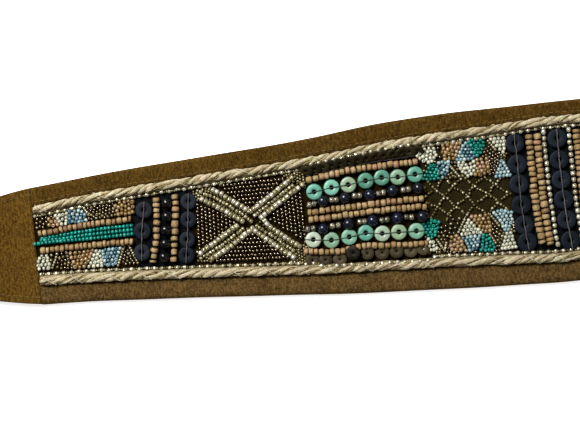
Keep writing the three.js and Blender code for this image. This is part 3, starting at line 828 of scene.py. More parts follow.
def make_borders():
    for word, side in (("upper", 1), ("lower", -1)):
        outer, inner = border_lines[word]
        rings = []
        for x in np.linspace(-FIELD_END - 0.15, FIELD_END + 0.15, BORDER_STATIONS):
            rim = outer(x) + side * ripple(x, 3, 9, 0.12)
            band = abs(rim - (inner(x) - side * TUCK))
            top = SUEDE_TOP + ripple(x, 5, 11, 0.1)
            # Pairs: distance inward from the rim, and height.
            section = [
                (1.5, 0.0), (1.5, BACKING_TOP), (0.5 * band, BACKING_TOP), (band - 0.1, BACKING_TOP + 0.05),
                (band, BACKING_TOP + 0.6), (band, top - 0.75), (band - 0.12, top - 0.4),
                (band - 0.4, top - 0.14), (band - 0.8, top - 0.03), (0.75 * band, top + 0.03),
                (0.5 * band, top + 0.04), (0.32 * band, top), (2.0, top - 0.1), (1.2, top - 0.36),
                (0.55, top - 0.9), (0.15, top - 1.6), (0.0, 2.0), (0.02, 1.2), (0.12, 0.55), (0.4, 0.12),
                (0.8, 0.0)]
            rings.append([(x, rim - side * d, z) for d, z in section])
        finish = "suede" if side > 0 else "suede_low"
        finish_piece(f"{word}_border_suede", skin(rings), finish, "suede", f"{word}_border")


def tip_half(x):
    past = (x - (BELT_END - TIP_LENGTH)) / TIP_LENGTH
    round_off = math.sqrt(max(0.0, 1 - past * past)) if past > 0 else 1.0
    return tab_half["right"](x) * round_off


def tip_stations(start):
    straight = np.arange(start, BELT_END - TIP_LENGTH, STRAP_GRAIN)
    bend = BELT_END - TIP_LENGTH + TIP_LENGTH * np.sin(np.linspace(0, math.pi / 2 - 0.06, 22))
    return np.r_[straight, bend]


def punch(piece):
    """Punches the round holes of the strap's end."""
    bm = bmesh.new()
    for x in size_holes():
        made = bmesh.ops.create_cone(
            bm, cap_ends=True, segments=28, radius1=HOLE_RADIUS * MM, radius2=HOLE_RADIUS * MM,
            depth=12 * MM)["verts"]
        bmesh.ops.translate(bm, verts=made, vec=(x * MM, 0, 0))
    cutter = object_from("punch", mesh_from("punch", bm))
    cut = piece.modifiers.new("holes", "BOOLEAN")
    cut.operation = "DIFFERENCE"
    cut.solver = "EXACT"
    cut.object = cutter
    bpy.context.view_layer.update()
    evaluated = piece.evaluated_get(bpy.context.evaluated_depsgraph_get())
    holed = bpy.data.meshes.new_from_object(evaluated)
    piece.modifiers.clear()
    piece.data = holed
    holed.set_sharp_from_angle(angle=math.radians(40))
    bpy.data.objects.remove(cutter)


def make_right_tab():
    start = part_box("right_tab")[0].x / MM
    rings = []
    for x in tip_stations(start):
        half = max(0.7, tip_half(x))
        low, high = -half + ripple(x, 1, 8, 0.1), half + ripple(x, 2, 7, 0.1)
        soft = 0.7 if x > start + 0.1 else 0.5
        rings.append(edge_ring(x, low, high, BACKING_TOP, SUEDE_TOP + ripple(x, 0, 13, 0.1), soft))
    punch(finish_piece("right_tab_suede", skin(rings), "suede_tab", "suede", "right_tab"))


def make_left_tab():
    """The left tab runs flat, over the buckle's bar, and back underneath."""
    loop_x = -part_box("left_tab")[0].x / MM - BUCKLE_LOOP
    start = -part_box("left_tab")[1].x / MM
    leg_end = -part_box("suede_backing")[0].x / MM
    wall = 0.85
    turn = [math.radians(a) for a in (90, 60, 30, 0, -30, -60, -90)]
    bend = [(loop_x + (BUCKLE_LOOP - wall) * math.cos(a), BUCKLE_LOOP + (BUCKLE_LOOP - wall) * math.sin(a))
            for a in turn]
    line = [(x, 2.9) for x in np.arange(start, loop_x - 14, 6.0)]
    line += [(loop_x - 11.5, 3.1), (loop_x - 7.0, 4.3), (loop_x - 3.5, 5.8)]
    line += bend + [(loop_x - 6, wall), (loop_x - 14, wall), (leg_end - 0.3, wall)]
    path = rounded(line, 1.5)
    path = np.stack([-path[:, 0], np.zeros(len(path)), path[:, 1]], 1)
    rings = []
    for (x, _, z), (dx, _, dz) in zip(path, tangents(path)):
        half = float(tab_half["left"](abs(x))) + ripple(x, 1, 8, 0.08)
        flat = max(0.0, min(1.0, (loop_x - 6 - abs(x)) / 10)) if z > 2.6 else 0
        thick = wall + (1.1 - wall) * flat
        ring = edge_ring(0, -half, half, -thick, thick, 0.6)
        rings.append([(x + h * dz, y, max(0.0, z - h * dx)) for _, y, h in ring])
    finish_piece("left_tab_suede", skin(rings), "suede_tab", "suede", "left_tab")


def make_backing():
    """Plain suede underneath. It stops inside the folded edges of the borders."""
    left_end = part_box("suede_backing")[0].x / MM
    inset = 1.8
    rings = []
    xs = np.r_[
        np.arange(left_end, -FIELD_END - TUCK, STRAP_GRAIN), -FIELD_END - TUCK,
        np.linspace(-FIELD_END, FIELD_END, FIELD_STATIONS), tip_stations(FIELD_END + TUCK)]
    for x in xs:
        if abs(x) <= FIELD_END + 0.01:
            low, high = border_lines["lower"][0](x) + inset, border_lines["upper"][0](x) - inset
        else:
            high = float(tab_half["left"](-x)) if x < 0 else max(0.6, tip_half(x))
            low = -high
        rings.append(edge_ring(x, low, high, 0.0, BACKING_TOP, 0.45))
    punch(finish_piece("backing_suede", skin(rings), "suede", "suede", "suede_backing"))


def make_cloth():
    """The cloth under the beads. Its width and area as a sheet are worked out, and nothing uses them."""
    xs = np.linspace(-FIELD_END, FIELD_END, FIELD_STATIONS)
    rings = []
    for x in xs:
        low, high = border_lines["lower"][1](x) + TUCK, border_lines["upper"][1](x) - TUCK
        rings.append(edge_ring(x, low, high, BACKING_TOP, CLOTH_TOP, 0.3))
    cloth = finish_piece("bead_cloth", skin(rings), "cloth", "cloth", "bead_ground")
    width = (border_lines["upper"][1](0) - border_lines["lower"][1](0)) * MM
    area = sum(
        border_lines["upper"][1](x) - border_lines["lower"][1](x) - 2 * TUCK
        for x in xs) / FIELD_STATIONS * 2 * FIELD_END * MM * MM


def stitch_line(points, length, gap, width, rng):
    """Short running stitches along a route of x, y and height."""
    line = rounded(points, length + gap)
    heading = tangents(line)
    spots = []
    for (x, y, z), (dx, dy, dz) in zip(line, heading):
        turn = math.atan2(dy, dx) + rng.normal(0, 0.08)
        size = (length * rng.uniform(0.8, 1.1), width, width * 0.7)
        spots.append(spot(x, y, z, size, turn, -math.asin(dz), 0, rng.uniform()))
    return spots


def make_stitches():
    rng = chance("stitches")
    spots = []
    for sign, half in ((-1, tab_half["left"]), (1, tip_half)):
        # On the left they stop short of the fold over the buckle.
        end = 398 if sign < 0 else BELT_END - 6
        for side in (1, -1):
            route = []
            for x in np.arange(FIELD_END + 1.2, end, 4.0):
                if sign < 0 or half(x) > 6:
                    inner = float(half(x)) - 3.5
                    route.append((sign * x, side * max(0.5, inner), SUEDE_TOP + 0.08))
            spots += stitch_line(route, 2.1, 0.9, 0.42, rng)
        seam = FIELD_END + 1.6
        high = float(tab_half["left"](seam)) - 1.5
        route = [(sign * (seam + 0.3 * math.sin(k)), y, SUEDE_TOP + 0.05)
                 for k, y in enumerate(np.linspace(-high, high, 12))]
        spots += stitch_line(route, 1.7, 0.9, 0.34, rng)
    for side, line, thick in ((1, upper_cord_y, 0.4), (-1, lower_cord_y, 0.3)):
        xs = np.arange(-FIELD_END + 2, FIELD_END - 1, 6.0)
        route = [(x, line(x) + side * (3.7 + 0.15 * math.sin(x)), SUEDE_TOP + 0.1) for x in xs]
        spots += stitch_line(route, 2.2, 1.2, thick, rng)
    strew("stitches", STITCH, spots, "stitch_thread", "thread")


# Cords.

CORD_TWIST = 21.0
PLY_RADIUS = 1.12
PLY_REACH = 0.98
CORD_STEP = 0.6


def cord_path(line):
    xs = np.arange(-CORD_END + 0.2, CORD_END - 0.2, CORD_STEP)
    return np.stack([xs, line(xs), np.full(len(xs), CORD_CENTRE)], 1)


def wander(count, spans, rng):
    """Slow random drift along a thread, between about -1 and 1."""
    knots = rng.normal(0, 0.5, spans)
    return smooth(np.linspace(0, count - 1, spans), knots)(np.arange(count))


def wound(path, reach, phase, drift):
    """A path that winds round another one."""
    heading = tangents(path)
    left = np.cross((0, 0, 1), heading)
    top = np.cross(heading, left)
    turn = phase - 2 * math.pi * travelled(path) / CORD_TWIST + drift
    reach = np.broadcast_to(reach, len(path))[:, None]
    return path + reach * (np.cos(turn)[:, None] * left + np.sin(turn)[:, None] * top)


def make_cords():
    for word, line in (("upper", upper_cord_y), ("lower", lower_cord_y)):
        rng = chance("cord", word)
        path = cord_path(line)
        count = len(path)
        drift = 1.5 * wander(count, 44, rng)
        bm = bmesh.new()
        # The flat fuzzy base shows a little beyond the plies, toward the beads.
        base = path[::3] + (0, -0.65 if word == "upper" else 0.65, -0.95)
        flat = [(a * 1.35, b * 0.8) for a, b in circle(1.5, 8)]
        core = skin(rings_along(base, flat, 1 + 0.14 * wander(len(base), 150, rng)))
        finish_piece(f"{word}_cord_core", core, "cord_core", "cord_yarn")
        for k in range(3):
            own = drift + 0.5 * wander(count, 60, rng)
            route = wound(path, PLY_REACH, k * 2 * math.pi / 3, own)
            swell = 1 + 0.36 * wander(count, 100, rng) + 0.16 * wander(count, 380, rng)
            swell = np.clip(swell, 0.68, 1.24)
            swell[:3] *= (0.5, 0.8, 0.95)
            swell[-3:] *= (0.95, 0.8, 0.5)
            skin(rings_along(route, circle(PLY_RADIUS, 10), swell), bm)
        finish_piece(f"{word}_cord_yarn", bm, "cord", "cord_yarn", f"{word}_cord")
        bm = bmesh.new()
        for k in range(3):
            for near, thick in ((-0.3, 0.26), (0.25, 0.32)):
                reach = PLY_REACH + 0.62 + 0.22 * wander(count, 140, rng)
                own = drift + near + 0.5 * wander(count, 110, rng)
                route = wound(path, reach, (k + 0.5) * 2 * math.pi / 3, own)[::2]
                knots = 1 + 0.35 * np.sin(np.arange(len(route)) * 2.1 + k)
                skin(rings_along(route, circle(thick, 5), knots), bm)
        finish_piece(f"{word}_cord_gold", bm, "gold_thread", "thread")


def make_couching():
    """Cream thread that holds the cords down: over them, and back in the grooves between the plies."""
    for word, line, reach in (("upper", upper_cord_y, (16, 34)), ("lower", lower_cord_y, (6, 12))):
        rng = chance("couching", word)
        x = -CORD_END + 1.5
        points = []
        while x < CORD_END - 26:
            slope = rng.uniform(5.5, 8.5)
            for share in np.linspace(0, 1, 8):
                across = (1 - 2 * share) * 2.15
                height = CORD_CENTRE - 0.2 + math.sqrt(2.3 ** 2 - across ** 2)
                points.append((x + share * slope, line(x + share * slope) + across, height))
            x += slope
            # Back through the cord, out of sight.
            gap = rng.uniform(*reach)
            for share in (0.08, 0.35, 0.65, 0.92):
                across = -1.2 + 2.4 * share
                points.append((x + share * gap, line(x + share * gap) + across, CORD_CENTRE - 1.0))
            x += gap
        thread_piece(f"{word}_couching", rounded(points, 0.8), 0.24, 5, "cream_thread")


# Wood beads.

def wood_string(line, width, lengths, gaps, tones, rng):
    """Wood beads of different lengths, end to end along a route."""
    route = rounded(line, 0.5)
    length = travelled(route)
    heading = tangents(route)
    spots = []
    done = 0.05
    while done < length[-1] - 0.6 * lengths[0]:
        size = rng.uniform(*lengths)
        if rng.uniform() < 0.15:
            size *= 1.25
        size = min(size, length[-1] - done)
        middle = done + size / 2
        x, y = (np.interp(middle, length, route[:, k]) for k in range(2))
        dx, dy = (np.interp(middle, length, heading[:, k]) for k in range(2))
        across = width * rng.uniform(0.92, 1.07)
        turn = math.atan2(dy, dx) + rng.normal(0, 0.09)
        side = rng.normal(0, 0.14)
        rise = BEAD_BASE + across / 2 + 0.15 + rng.uniform(0, 0.3)
        spots.append(spot(
            x - side * dy, y + side * dx, rise, (size, across * rng.uniform(0.92, 1.04), across), turn,
            rng.normal(0, 0.08), rng.uniform(-0.4, 0.4), rng.uniform(*tones)))
        done += size + rng.uniform(*gaps)
    return spots


# For each string: the axis that it runs along, bead width, bead lengths, gaps and tones.
WOOD_STRINGS = {
    "stripe_wood_upper": (0, 3.2, (1.6, 2.8), (0.1, 0.4), (-0.5, 0.85)),
    "stripe_wood_lower": (0, 3.2, (1.6, 2.8), (0.12, 0.4), (0.0, 0.9)),
    "row_wood_top": (0, 3.55, (1.7, 3.0), (0.05, 0.35), (0.3, 1.0)),
    "row_wood_pair_upper": (0, 3.4, (1.8, 3.0), (0.05, 0.4), (0.05, 0.9)),
    "row_wood_pair_lower": (0, 3.4, (1.8, 3.2), (0.05, 0.35), (0.05, 0.9)),
    "row_wood_bottom": (0, 3.3, (1.9, 3.0), (0.08, 0.4), (0.1, 0.95)),
    "column_wood_outer": (1, 3.5, (2.1, 3.0), (0.35, 1.0), (0.3, 0.95)),
    "column_wood_inner": (1, 3.5, (2.1, 3.1), (0.35, 1.0), (0.3, 0.95)),
    "middle_wood_outer": (1, 4.1, (1.8, 2.7), (0.2, 0.6), (0.0, 0.9)),
    "middle_wood_inner": (1, 4.0, (1.8, 2.7), (0.2, 0.6), (0.0, 0.95)),
}


def make_wood():
    for word, _ in HALVES:
        for name, (axis, width, lengths, gaps, tones) in WOOD_STRINGS.items():
            node = f"{word}_{name}"
            line = middle_line(node, axis)
            if axis:
                line = line[::-1]
            spots = wood_string(line, width, lengths, gaps, tones, chance(node))
            strew(f"{node}_beads", WOOD_BEAD, spots, "wood", "wood", node)


# Discs and balls. Places are in millimetres on the left half.

TURQUOISE = {
    "upper": [
        (-123.3, 12.2, 0.75), (-114.5, 13.5, 0.6), (-106, 14, 0.25), (-97.2, 15.1, 1.0), (-89, 15.8, 1.0),
        (-81, 15.2, 0.35), (-72.3, 15.7, 0.88)],
    "lower": [
        (-126.2, -11.5, 0.0), (-117.2, -12.7, 0.35), (-108.2, -12, 0.5), (-99.8, -10.8, 0.82),
        (-91.6, -12, 0.12), (-83.3, -12.1, 0.25), (-74.5, -12.5, 0.46)],
}
NAVY_COLUMNS = {
    "column_discs_outer": (4.4, [(-208.9, 12), (-210.8, 1.7), (-212, -9)]),
    "column_discs_inner": (4.25, [(-186.3, 14), (-187.3, 5), (-188.8, -4.9), (-190, -12.6)]),
    "middle_discs": (4.95, [
        (-21.2, 26), (-21, 15.5), (-21.2, 5.6), (-21.1, -4.9), (-20.7, -15), (-20, -23.6)]),
}
# Distance of the middle columns from the belt's middle.
MIDDLE_COLUMN = 21.1
CENTRE_COLUMN = (4.9, [(0.1, 26.3), (0, 15.6), (0, 5.6), (0.2, -4.4), (0.7, -14.6), (1.6, -25)])
NAVY_BALLS = {
    "upper": [(-119.5, 7.2), (-108.5, 7.6), (-96, 7.9), (-84.5, 8.8), (-71.5, 8.8)],
    "lower": [(-120.8, -6.5), (-108, -5.3), (-95.8, -5), (-83.5, -5), (-71, -5.5)],
}
COLUMN_BALLS = [(-197.2, 14.3), (-197.8, 7.7), (-199, 1), (-200, -5.7), (-201.2, -12.3)]
SILVER_PAIRS = {
    "upper": [
        (-126.4, 6), (-123.9, 6.3), (-115, 7.3), (-112.7, 7.1), (-103.5, 8.2), (-101, 8), (-91.5, 8.1),
        (-89, 8.3), (-79, 8.6), (-76.4, 8.7)],
    "lower": [
        (-128.4, -6), (-125.6, -5.8), (-116, -5.7), (-113, -5.6), (-102.2, -5), (-99.8, -5), (-91, -5.4),
        (-88.5, -5.3), (-78.8, -5), (-76.2, -5.4)],
}


def disc_column(radius, centres, rng):
    """Discs of a column. Each leans on the one below it."""
    rise = DISC_THICK / 2 + radius * math.sin(math.radians(DISC_LEAN)) + BEAD_BASE + 0.1
    spots = []
    for i, (x, y) in enumerate(centres):
        tilt = math.radians(DISC_LEAN + rng.uniform(-0.8, 0.8)) * (1 if i % 2 else -1)
        spots.append(spot(
            x, y, rise, (radius * rng.uniform(0.97, 1.02), radius, DISC_THICK), rng.uniform(-0.05, 0.05), 0,
            tilt, rng.uniform()))
    return spots


def thread_over(centres, height, dip, overhang, rng):
    """Path of a sewing thread from hole to hole, over the rims of neighbouring discs."""
    points = []
    for i, (x, y) in enumerate(centres):
        points.append((x + rng.normal(0, 0.18), y, height - dip))
        if i + 1 < len(centres):
            nx, ny = centres[i + 1]
            for share in (0.15, 0.35, 0.5, 0.65, 0.85):
                swing = rng.normal(0, 0.14) * math.sin(math.pi * share)
                lift = 0.05 * math.sin(math.pi * share)
                points.append((x + (nx - x) * share + swing, y + (ny - y) * share, height + lift))
    # Beyond the end discs it dives to the cloth.
    ends = []
    for end, neighbour in ((centres[0], centres[1]), (centres[-1], centres[-2])):
        end = np.array(end)
        away = end - np.array(neighbour)
        away = away / np.linalg.norm(away)
        steps = ((overhang, height - 0.6), (overhang - 0.6, height), (1.2, height))
        ends.append([(*(end + away * far), level) for far, level in steps])
    head, tail = ends
    return rounded(head + points + tail[::-1], 0.6)


def navy_column(node, centres, radius, height, thread_radius, rng):
    """A column of leaning discs, and the thread that holds it."""
    strew(f"{node}_set", DISC, disc_column(radius, centres, rng), "navy", "navy", node)
    path = thread_over(centres, height, 0.35, radius - 0.2, rng)
    thread_piece(f"{node}_thread", path, thread_radius, 6, "grey_thread")


def make_navy_discs():
    for word, sign in HALVES:
        rng = chance("navy", word)
        for name, (radius, places) in NAVY_COLUMNS.items():
            centres = mirrored(places, sign)
            if name == "middle_discs" and sign > 0:
                # This column is the left one moved, and not its mirror image.
                centres = [(2 * MIDDLE_COLUMN + x, y + MIDLINE) for x, y in places]
            navy_column(f"{word}_{name}", centres, radius, 5.95, 0.25, rng)
    radius, places = CENTRE_COLUMN
    navy_column("centre_discs", mirrored(places, -1), radius, 6.05, 0.3, chance("navy", "centre"))


def make_turquoise():
    for word, sign in HALVES:
        for level, discs in TURQUOISE.items():
            rng = chance("turquoise", word, level)
            centres = mirrored([(x, y) for x, y, _ in discs], sign)
            spots = []
            for (x, y), (_, _, tone) in zip(centres, discs):
                size = 4.05 * rng.uniform(0.98, 1.01)
                spots.append(spot(
                    x, y, BEAD_BASE + 1.45, (size, size, 2.5), rng.uniform(0, 6), rng.normal(0, 0.03),
                    rng.normal(0, 0.03), tone))
            name = f"{word}_turquoise_{level}"
            strew(name, WASHER, spots, "turquoise", "turquoise", f"{word}_row_turquoise_{level}")
            path = thread_over(centres, 5.98, 0.45, 3.9, rng)
            thread_piece(f"{name}_thread", path, 0.22, 6, "green_thread")


def make_balls():
    for word, sign in HALVES:
        for level in ("upper", "lower"):
            rng = chance("balls", word, level)
            spots = []
            for x, y in mirrored(NAVY_BALLS[level], sign):
                size = 5.5 * rng.uniform(0.97, 1.03)
                spots.append(spot(
                    x, y, BEAD_BASE + size / 2 + 0.1, (size, size, size), rng.uniform(0, 6),
                    tone=rng.uniform(0.5, 1.05)))
            strew(f"{word}_balls_{level}", BALL, spots, "navy_balls", "navy", f"{word}_row_rounds_{level}")
            spots = []
            for x, y in mirrored(SILVER_PAIRS[level], sign):
                size = rng.uniform(2.9, 3.2)
                spots.append(spot(
                    x, y, BEAD_BASE + size / 2 + 0.15, (2.4, size, size), rng.normal(0, 0.12),
                    rng.normal(0, 0.1), rng.uniform(0, 6), rng.uniform()))
            strew(f"{word}_silver_pairs_{level}", TUBE, spots, "silver_pairs", "silver")
        rng = chance("column balls", word)
        spots = [
            spot(x, y, BEAD_BASE + 2.75, (5.3, 5.3, 5.3), rng.uniform(0, 6), tone=rng.uniform(0, 0.3))
            for x, y in mirrored(COLUMN_BALLS, sign)]
        strew(f"{word}_column_balls", BALL, spots, "navy_balls", "navy", f"{word}_column_rounds")


BROWN_LOW = [
    (-127.6, -21.6), (-121, -22), (-114, -22.6), (-100, -21), (-92.6, -21.5), (-85.4, -21.4), (-78.2, -21.9),
    (-72, -21.6), (-107.2, -20)]


def make_brown_discs():
    """Dark discs: a row leaning on the upper cord, and a row lying flat along the lower one."""
    for word, sign in HALVES:
        node = f"{word}_row_brown_top"
        rng = chance(node)
        line = middle_line(node)
        spots = []
        for x, y in rounded(line[:, :2], 4.3):
            size = rng.uniform(3.1, 3.5)
            lean = math.radians(rng.uniform(30, 42))
            spots.append(spot(
                x, y + 0.1, BEAD_BASE + 0.6 + size * math.sin(lean) * 0.75, (size, size, 0.8), 0,
                math.radians(rng.uniform(12, 24)) * rng.choice((-1, 1)), lean, rng.uniform()))
        strew(f"{node}_set", THIN_DISC, spots, "brown", "dark_brown", node)
        low = [(x, y - 2.3, BEAD_BASE + 1.4) for x, y, _ in line]
        thread_piece(f"{node}_thread", rounded(low, 1.2), 0.3, 5, "dark_thread")
        node = f"{word}_row_brown_bottom"
        rng = chance(node)
        spots = []
        for i, (x, y) in enumerate(mirrored(BROWN_LOW, sign)):
            size = 3.55 * rng.uniform(0.94, 1.03)
            # The last one lies on top of the row.
            lift = 2.9 if i == len(BROWN_LOW) - 1 else 0.0
            spots.append(spot(
                x, y, BEAD_BASE + 1.0 + 0.5 * (i % 2) + lift, (size, size, 1.1), rng.uniform(0, 6),
                math.radians(rng.uniform(2, 8)), math.radians(rng.uniform(-7, 7)),
                -0.4 if lift else rng.uniform(0.2, 1.5)))
        strew(f"{node}_set", THIN_DISC, spots, "brown_low", "dark_brown", node)


def make_middle_silver():
    for word, _ in HALVES:
        node = f"{word}_middle_silver"
        rng = chance(node)
        line = middle_line(node, 1)[::-1]
        spots = []
        for x, y, turn in walk(line[:, :2], 3.1):
            size = rng.uniform(2.3, 2.6)
            spots.append(spot(
                x + rng.normal(0, 0.1), y, BEAD_BASE + size / 2 + 0.1, (rng.uniform(2.2, 2.8), size, size),
                turn + rng.normal(0, 0.12), rng.normal(0, 0.1), rng.uniform(0, 6), rng.uniform(0.6, 1)))
        strew(f"{node}_beads", SEED, spots, "silver", "silver", node)


# Seed beads. Outlines are in millimetres on the left half.

TEAL_ROWS = [
    [(-264.8, 0.7), (-255, 0.9), (-240, 0.6), (-225, 0.6), (-216, 0.7)],
    [(-261.5, 2.2), (-252, 2.0), (-240, 2.5), (-228, 2.7), (-216, 2.8)],
    [(-260.8, 3.2), (-252, 3.8), (-240, 4.5), (-228, 4.9), (-216, 4.9)],
]
PATCHES = [
    # Near the seam, above the stripe.
    ("tan", [(-257.5, 8.3), (-257.5, 13.5), (-252.8, 13), (-251.5, 9), (-252, 8.3)], 20),
    ("white", [(-254.5, 14.3), (-246.6, 15.2), (-247.2, 8.6), (-251.7, 8.6)], 8),
    ("blue", [(-247.6, 15.6), (-240.5, 16), (-237.2, 12.6), (-237.6, 9), (-247.4, 8.6)], 8),
    ("tan", [(-224, 16), (-220, 17.8), (-213.4, 18), (-213.2, 15.2), (-214, 10.2), (-222.5, 10)], 25),
    # Near the seam, below the stripe.
    ("white", [(-265.2, -12.6), (-257.6, -12.6), (-258.6, -5), (-262.4, -4.8), (-264.9, -7)], 0),
    ("tan", [(-249, -4.9), (-235, -4.8), (-238.5, -11), (-241, -14), (-246.6, -13.9)], 10),
    ("white", [(-240.6, -14.2), (-235, -4.8), (-232.2, -5.2), (-231.6, -14.3)], -55),
    ("blue", [(-233.4, -4.7), (-221.4, -4.7), (-225.6, -14.4), (-231.4, -14.3)], 0),
    # Near the middle, above the lattice.
    ("white", [(-71.4, 24.4), (-69, 28.4), (-61, 28.6), (-59.8, 24), (-63.6, 19.9), (-67.4, 21)], 12),
    ("tan", [(-58.4, 29.6), (-47, 30), (-48.3, 26.5), (-51.4, 20.6), (-57.6, 20.9)], -20),
    ("teal", [(-45, 29.6), (-42.4, 30.7), (-38.2, 30.5), (-35.8, 29), (-35.8, 26.8), (-37.6, 23.4),
              (-40, 20.8), (-41.4, 21.6), (-43.2, 25.4)], 57),
    ("blue", [(-51.6, 20.4), (-49.9, 24), (-47.8, 28), (-45.2, 30), (-43.2, 26.4), (-40.6, 21.2),
              (-43.6, 19.7), (-50.6, 19.8)], 57),
    ("teal", [(-69.8, 13.2), (-68, 11.6), (-59.8, 11.8), (-60, 15), (-61, 18), (-62.3, 20.6), (-65.3, 19.3),
              (-67.4, 16)], 50),
    ("blue", [(-63.4, 20.8), (-58, 21.4), (-54, 21), (-54.4, 17.6), (-56.2, 13.9), (-58.6, 12),
              (-61, 12), (-61.4, 15.4), (-62.2, 18)], 40),
    ("white", [(-51.2, 20.4), (-41.8, 20.6), (-41.2, 17), (-42.2, 13.6), (-46, 10.9), (-48.8, 13.8),
               (-50.4, 17)], 0),
    ("tan", [(-42, 20.6), (-34.6, 20.8), (-34.4, 12.7), (-40, 11.2), (-43.8, 12), (-41.6, 16)], 0),
    ("white", [(-34, 30.2), (-25.3, 30), (-25.8, 22.4), (-27.6, 20.8), (-31.4, 26.2)], 0),
    ("sky", [(-28.6, 19.3), (-26.6, 17), (-25.2, 13.5), (-23.9, 9.5), (-33.4, 9.7), (-31.3, 14)], 0),
    # Near the middle, below the lattice.
    ("teal", [(-71.6, -8.4), (-65, -7.2), (-61.9, -8.8), (-63, -12.5), (-64.8, -15.8), (-67, -17.8),
              (-69.8, -15.3), (-71.4, -12.5)], -60),
    ("white", [(-72.4, -21), (-70.5, -17.2), (-68.4, -16), (-66.3, -18.3), (-64, -23), (-68, -23.9),
               (-72, -23.2)], 0),
    ("tan", [(-58.4, -16.4), (-53.8, -16.2), (-52, -19.5), (-49.3, -25.7), (-59, -24.2)], 15),
    ("white", [(-48, -8.4), (-50.9, -13), (-53.6, -17.4), (-49, -17.6), (-45, -16.9), (-41.3, -17.7),
               (-42.8, -15), (-45.6, -11.4)], 0),
    ("blue", [(-53.4, -17.6), (-42.2, -17.4), (-43.3, -21), (-44.7, -24.9), (-49.6, -26), (-50.9, -21)], 0),
    ("tan", [(-47.9, -7.4), (-37.1, -7.4), (-36.9, -17), (-41.5, -17), (-43.3, -14.3), (-45.9, -10.3)], 0),
    ("teal", [(-42.2, -17.3), (-38.3, -17.4), (-35.4, -24.6), (-37.3, -26.9), (-44.3, -25.9),
              (-42.9, -21.5)], -40),
    ("white", [(-30, -17.2), (-26.7, -17.4), (-24.9, -26.6), (-33.7, -26.4), (-32, -22)], 0),
    ("sky", [(-36.2, -7.2), (-32, -5.8), (-25.4, -7.3), (-25.4, -12), (-28.2, -17.5), (-30.8, -17.4),
             (-32.5, -13)], 0),
]
# Bands of seed beads. What the coloured patches leave free is filled with bronze beads.
BANDS = [
    [(-264, 7.6), (-263.8, 13.6), (-257, 14.2), (-250, 15.2), (-240, 16.2), (-230, 17), (-220, 17.4),
     (-213.2, 17.8), (-213.4, 10.2), (-225, 10), (-240, 9.4), (-250, 8.8), (-258, 8)],
    [(-265.2, -4.7), (-265.2, -12.8), (-250, -13.6), (-240, -14), (-230, -14.2), (-222, -14.4), (-214, -14.6),
     (-216.4, -8), (-216, -4.9), (-230, -4.6)],
    [(-71.5, 23.4), (-70, 28.6), (-60, 29.4), (-50, 30), (-40, 30.6), (-25.2, 31), (-25, 21), (-26.6, 20),
     (-24.6, 9.8), (-33, 11.4), (-45, 11.6), (-58, 11.6), (-67.5, 11.4), (-68.6, 14), (-68, 19.5), (-69, 22)],
    [(-71.8, -8), (-25, -6.2), (-25.2, -26.8), (-38, -26.8), (-50, -26.1), (-60, -25.2), (-72.4, -24.4),
     (-71.6, -18.6), (-70.2, -16.6)],
]
# Here the filling has hardly a bright bead.
DARK_FILLING = [(-37.5, 23), (-29.5, 23), (-30.5, 12), (-34.5, 12)]
# Short lines of silver beads between the patches.
EDGE_LINES = [
    [(-237.4, 14), (-233, 10.4)], [(-238.6, 16), (-236.8, 12.4)], [(-257.4, -12), (-255, -7)],
    [(-220.6, -5), (-224.6, -14.2)], [(-218.2, -5), (-214.7, -14)], [(-64.6, -18), (-61.6, -23.4)],
    [(-60.2, -20), (-61.4, -23.6)], [(-34.2, 28.6), (-31, 24)], [(-54, 17.6), (-50.4, 12.6)],
    [(-50, -9.4), (-53.6, -15.2)], [(-38, -18), (-35.6, -22.4)], [(-37, -8), (-33, -14)],
]
CROSS_LINES = [
    [(-173.4, 18.4), (-165, 12.4), (-156.4, 6)], [(-179.6, 14.4), (-170, 8.2), (-160.5, 1.2)],
    [(-150.8, 2.2), (-147, -2.8), (-141, -8), (-133, -14.2)],
    [(-156, -2.6), (-150.5, -8), (-144, -13.6), (-137, -19)],
    [(-183, -12.4), (-174, -7), (-163.6, -0.6)], [(-177.4, -15.8), (-166, -9.6), (-155.8, -2.8)],
    [(-156, 6), (-146, 12.2), (-133.6, 20.4)], [(-151, 2.4), (-141, 8.6), (-129, 16.4)],
]
CROSS_CORES = [
    [(-179.8, 18), (-168, 11), (-161, 5.4), (-156.2, 0.8)], [(-153.4, -1.6), (-146, -8), (-136.6, -15.8)],
    [(-183, -14.8), (-172, -9.6), (-160.5, -2.4)], [(-154, 3.6), (-144, 10), (-134, 16.4)],
]
TRIANGLES = [
    ([(-171.5, 21), (-136.4, 21), (-155.6, 5)], ((-168, 20.2), (-139, 20.2))),
    ([(-183, 14), (-184.2, -10.6), (-160.4, 1.8)], ((-182.1, 12), (-183.1, -8))),
    ([(-130, 15.6), (-129.4, -13.2), (-147.4, 1.4)], ((-130.5, 13.6), (-130.3, -11))),
    ([(-179.5, -17.5), (-136, -19.8), (-156.6, -2.8)], ((-175, -16.8), (-139.8, -18.8))),
]
BEAD_ACROSS = {"white": 1.0, "blue": 0.97, "sky": 0.97, "teal": 0.97, "tan": 1.08}


def seed_spots(places, width, rng, stand, wander, length=0.78, tones=(0.0, 1.0)):
    """Seed beads at the places, some of them standing on end so that the hole shows."""
    spots = []
    for x, y, turn in places:
        across = width * rng.uniform(0.92, 1.06)
        upright = rng.uniform() < stand
        tilt = math.pi / 2 + rng.normal(0, 0.25) if upright else rng.normal(0, 0.15)
        spots.append(spot(
            x, y, BEAD_BASE + across * 0.5 + rng.uniform(-0.05, 0.2),
            (across * length * rng.uniform(0.9, 1.1), across, across), turn + rng.normal(0, wander), tilt,
            rng.uniform(0, 6.3), rng.uniform(*tones)))
    return spots


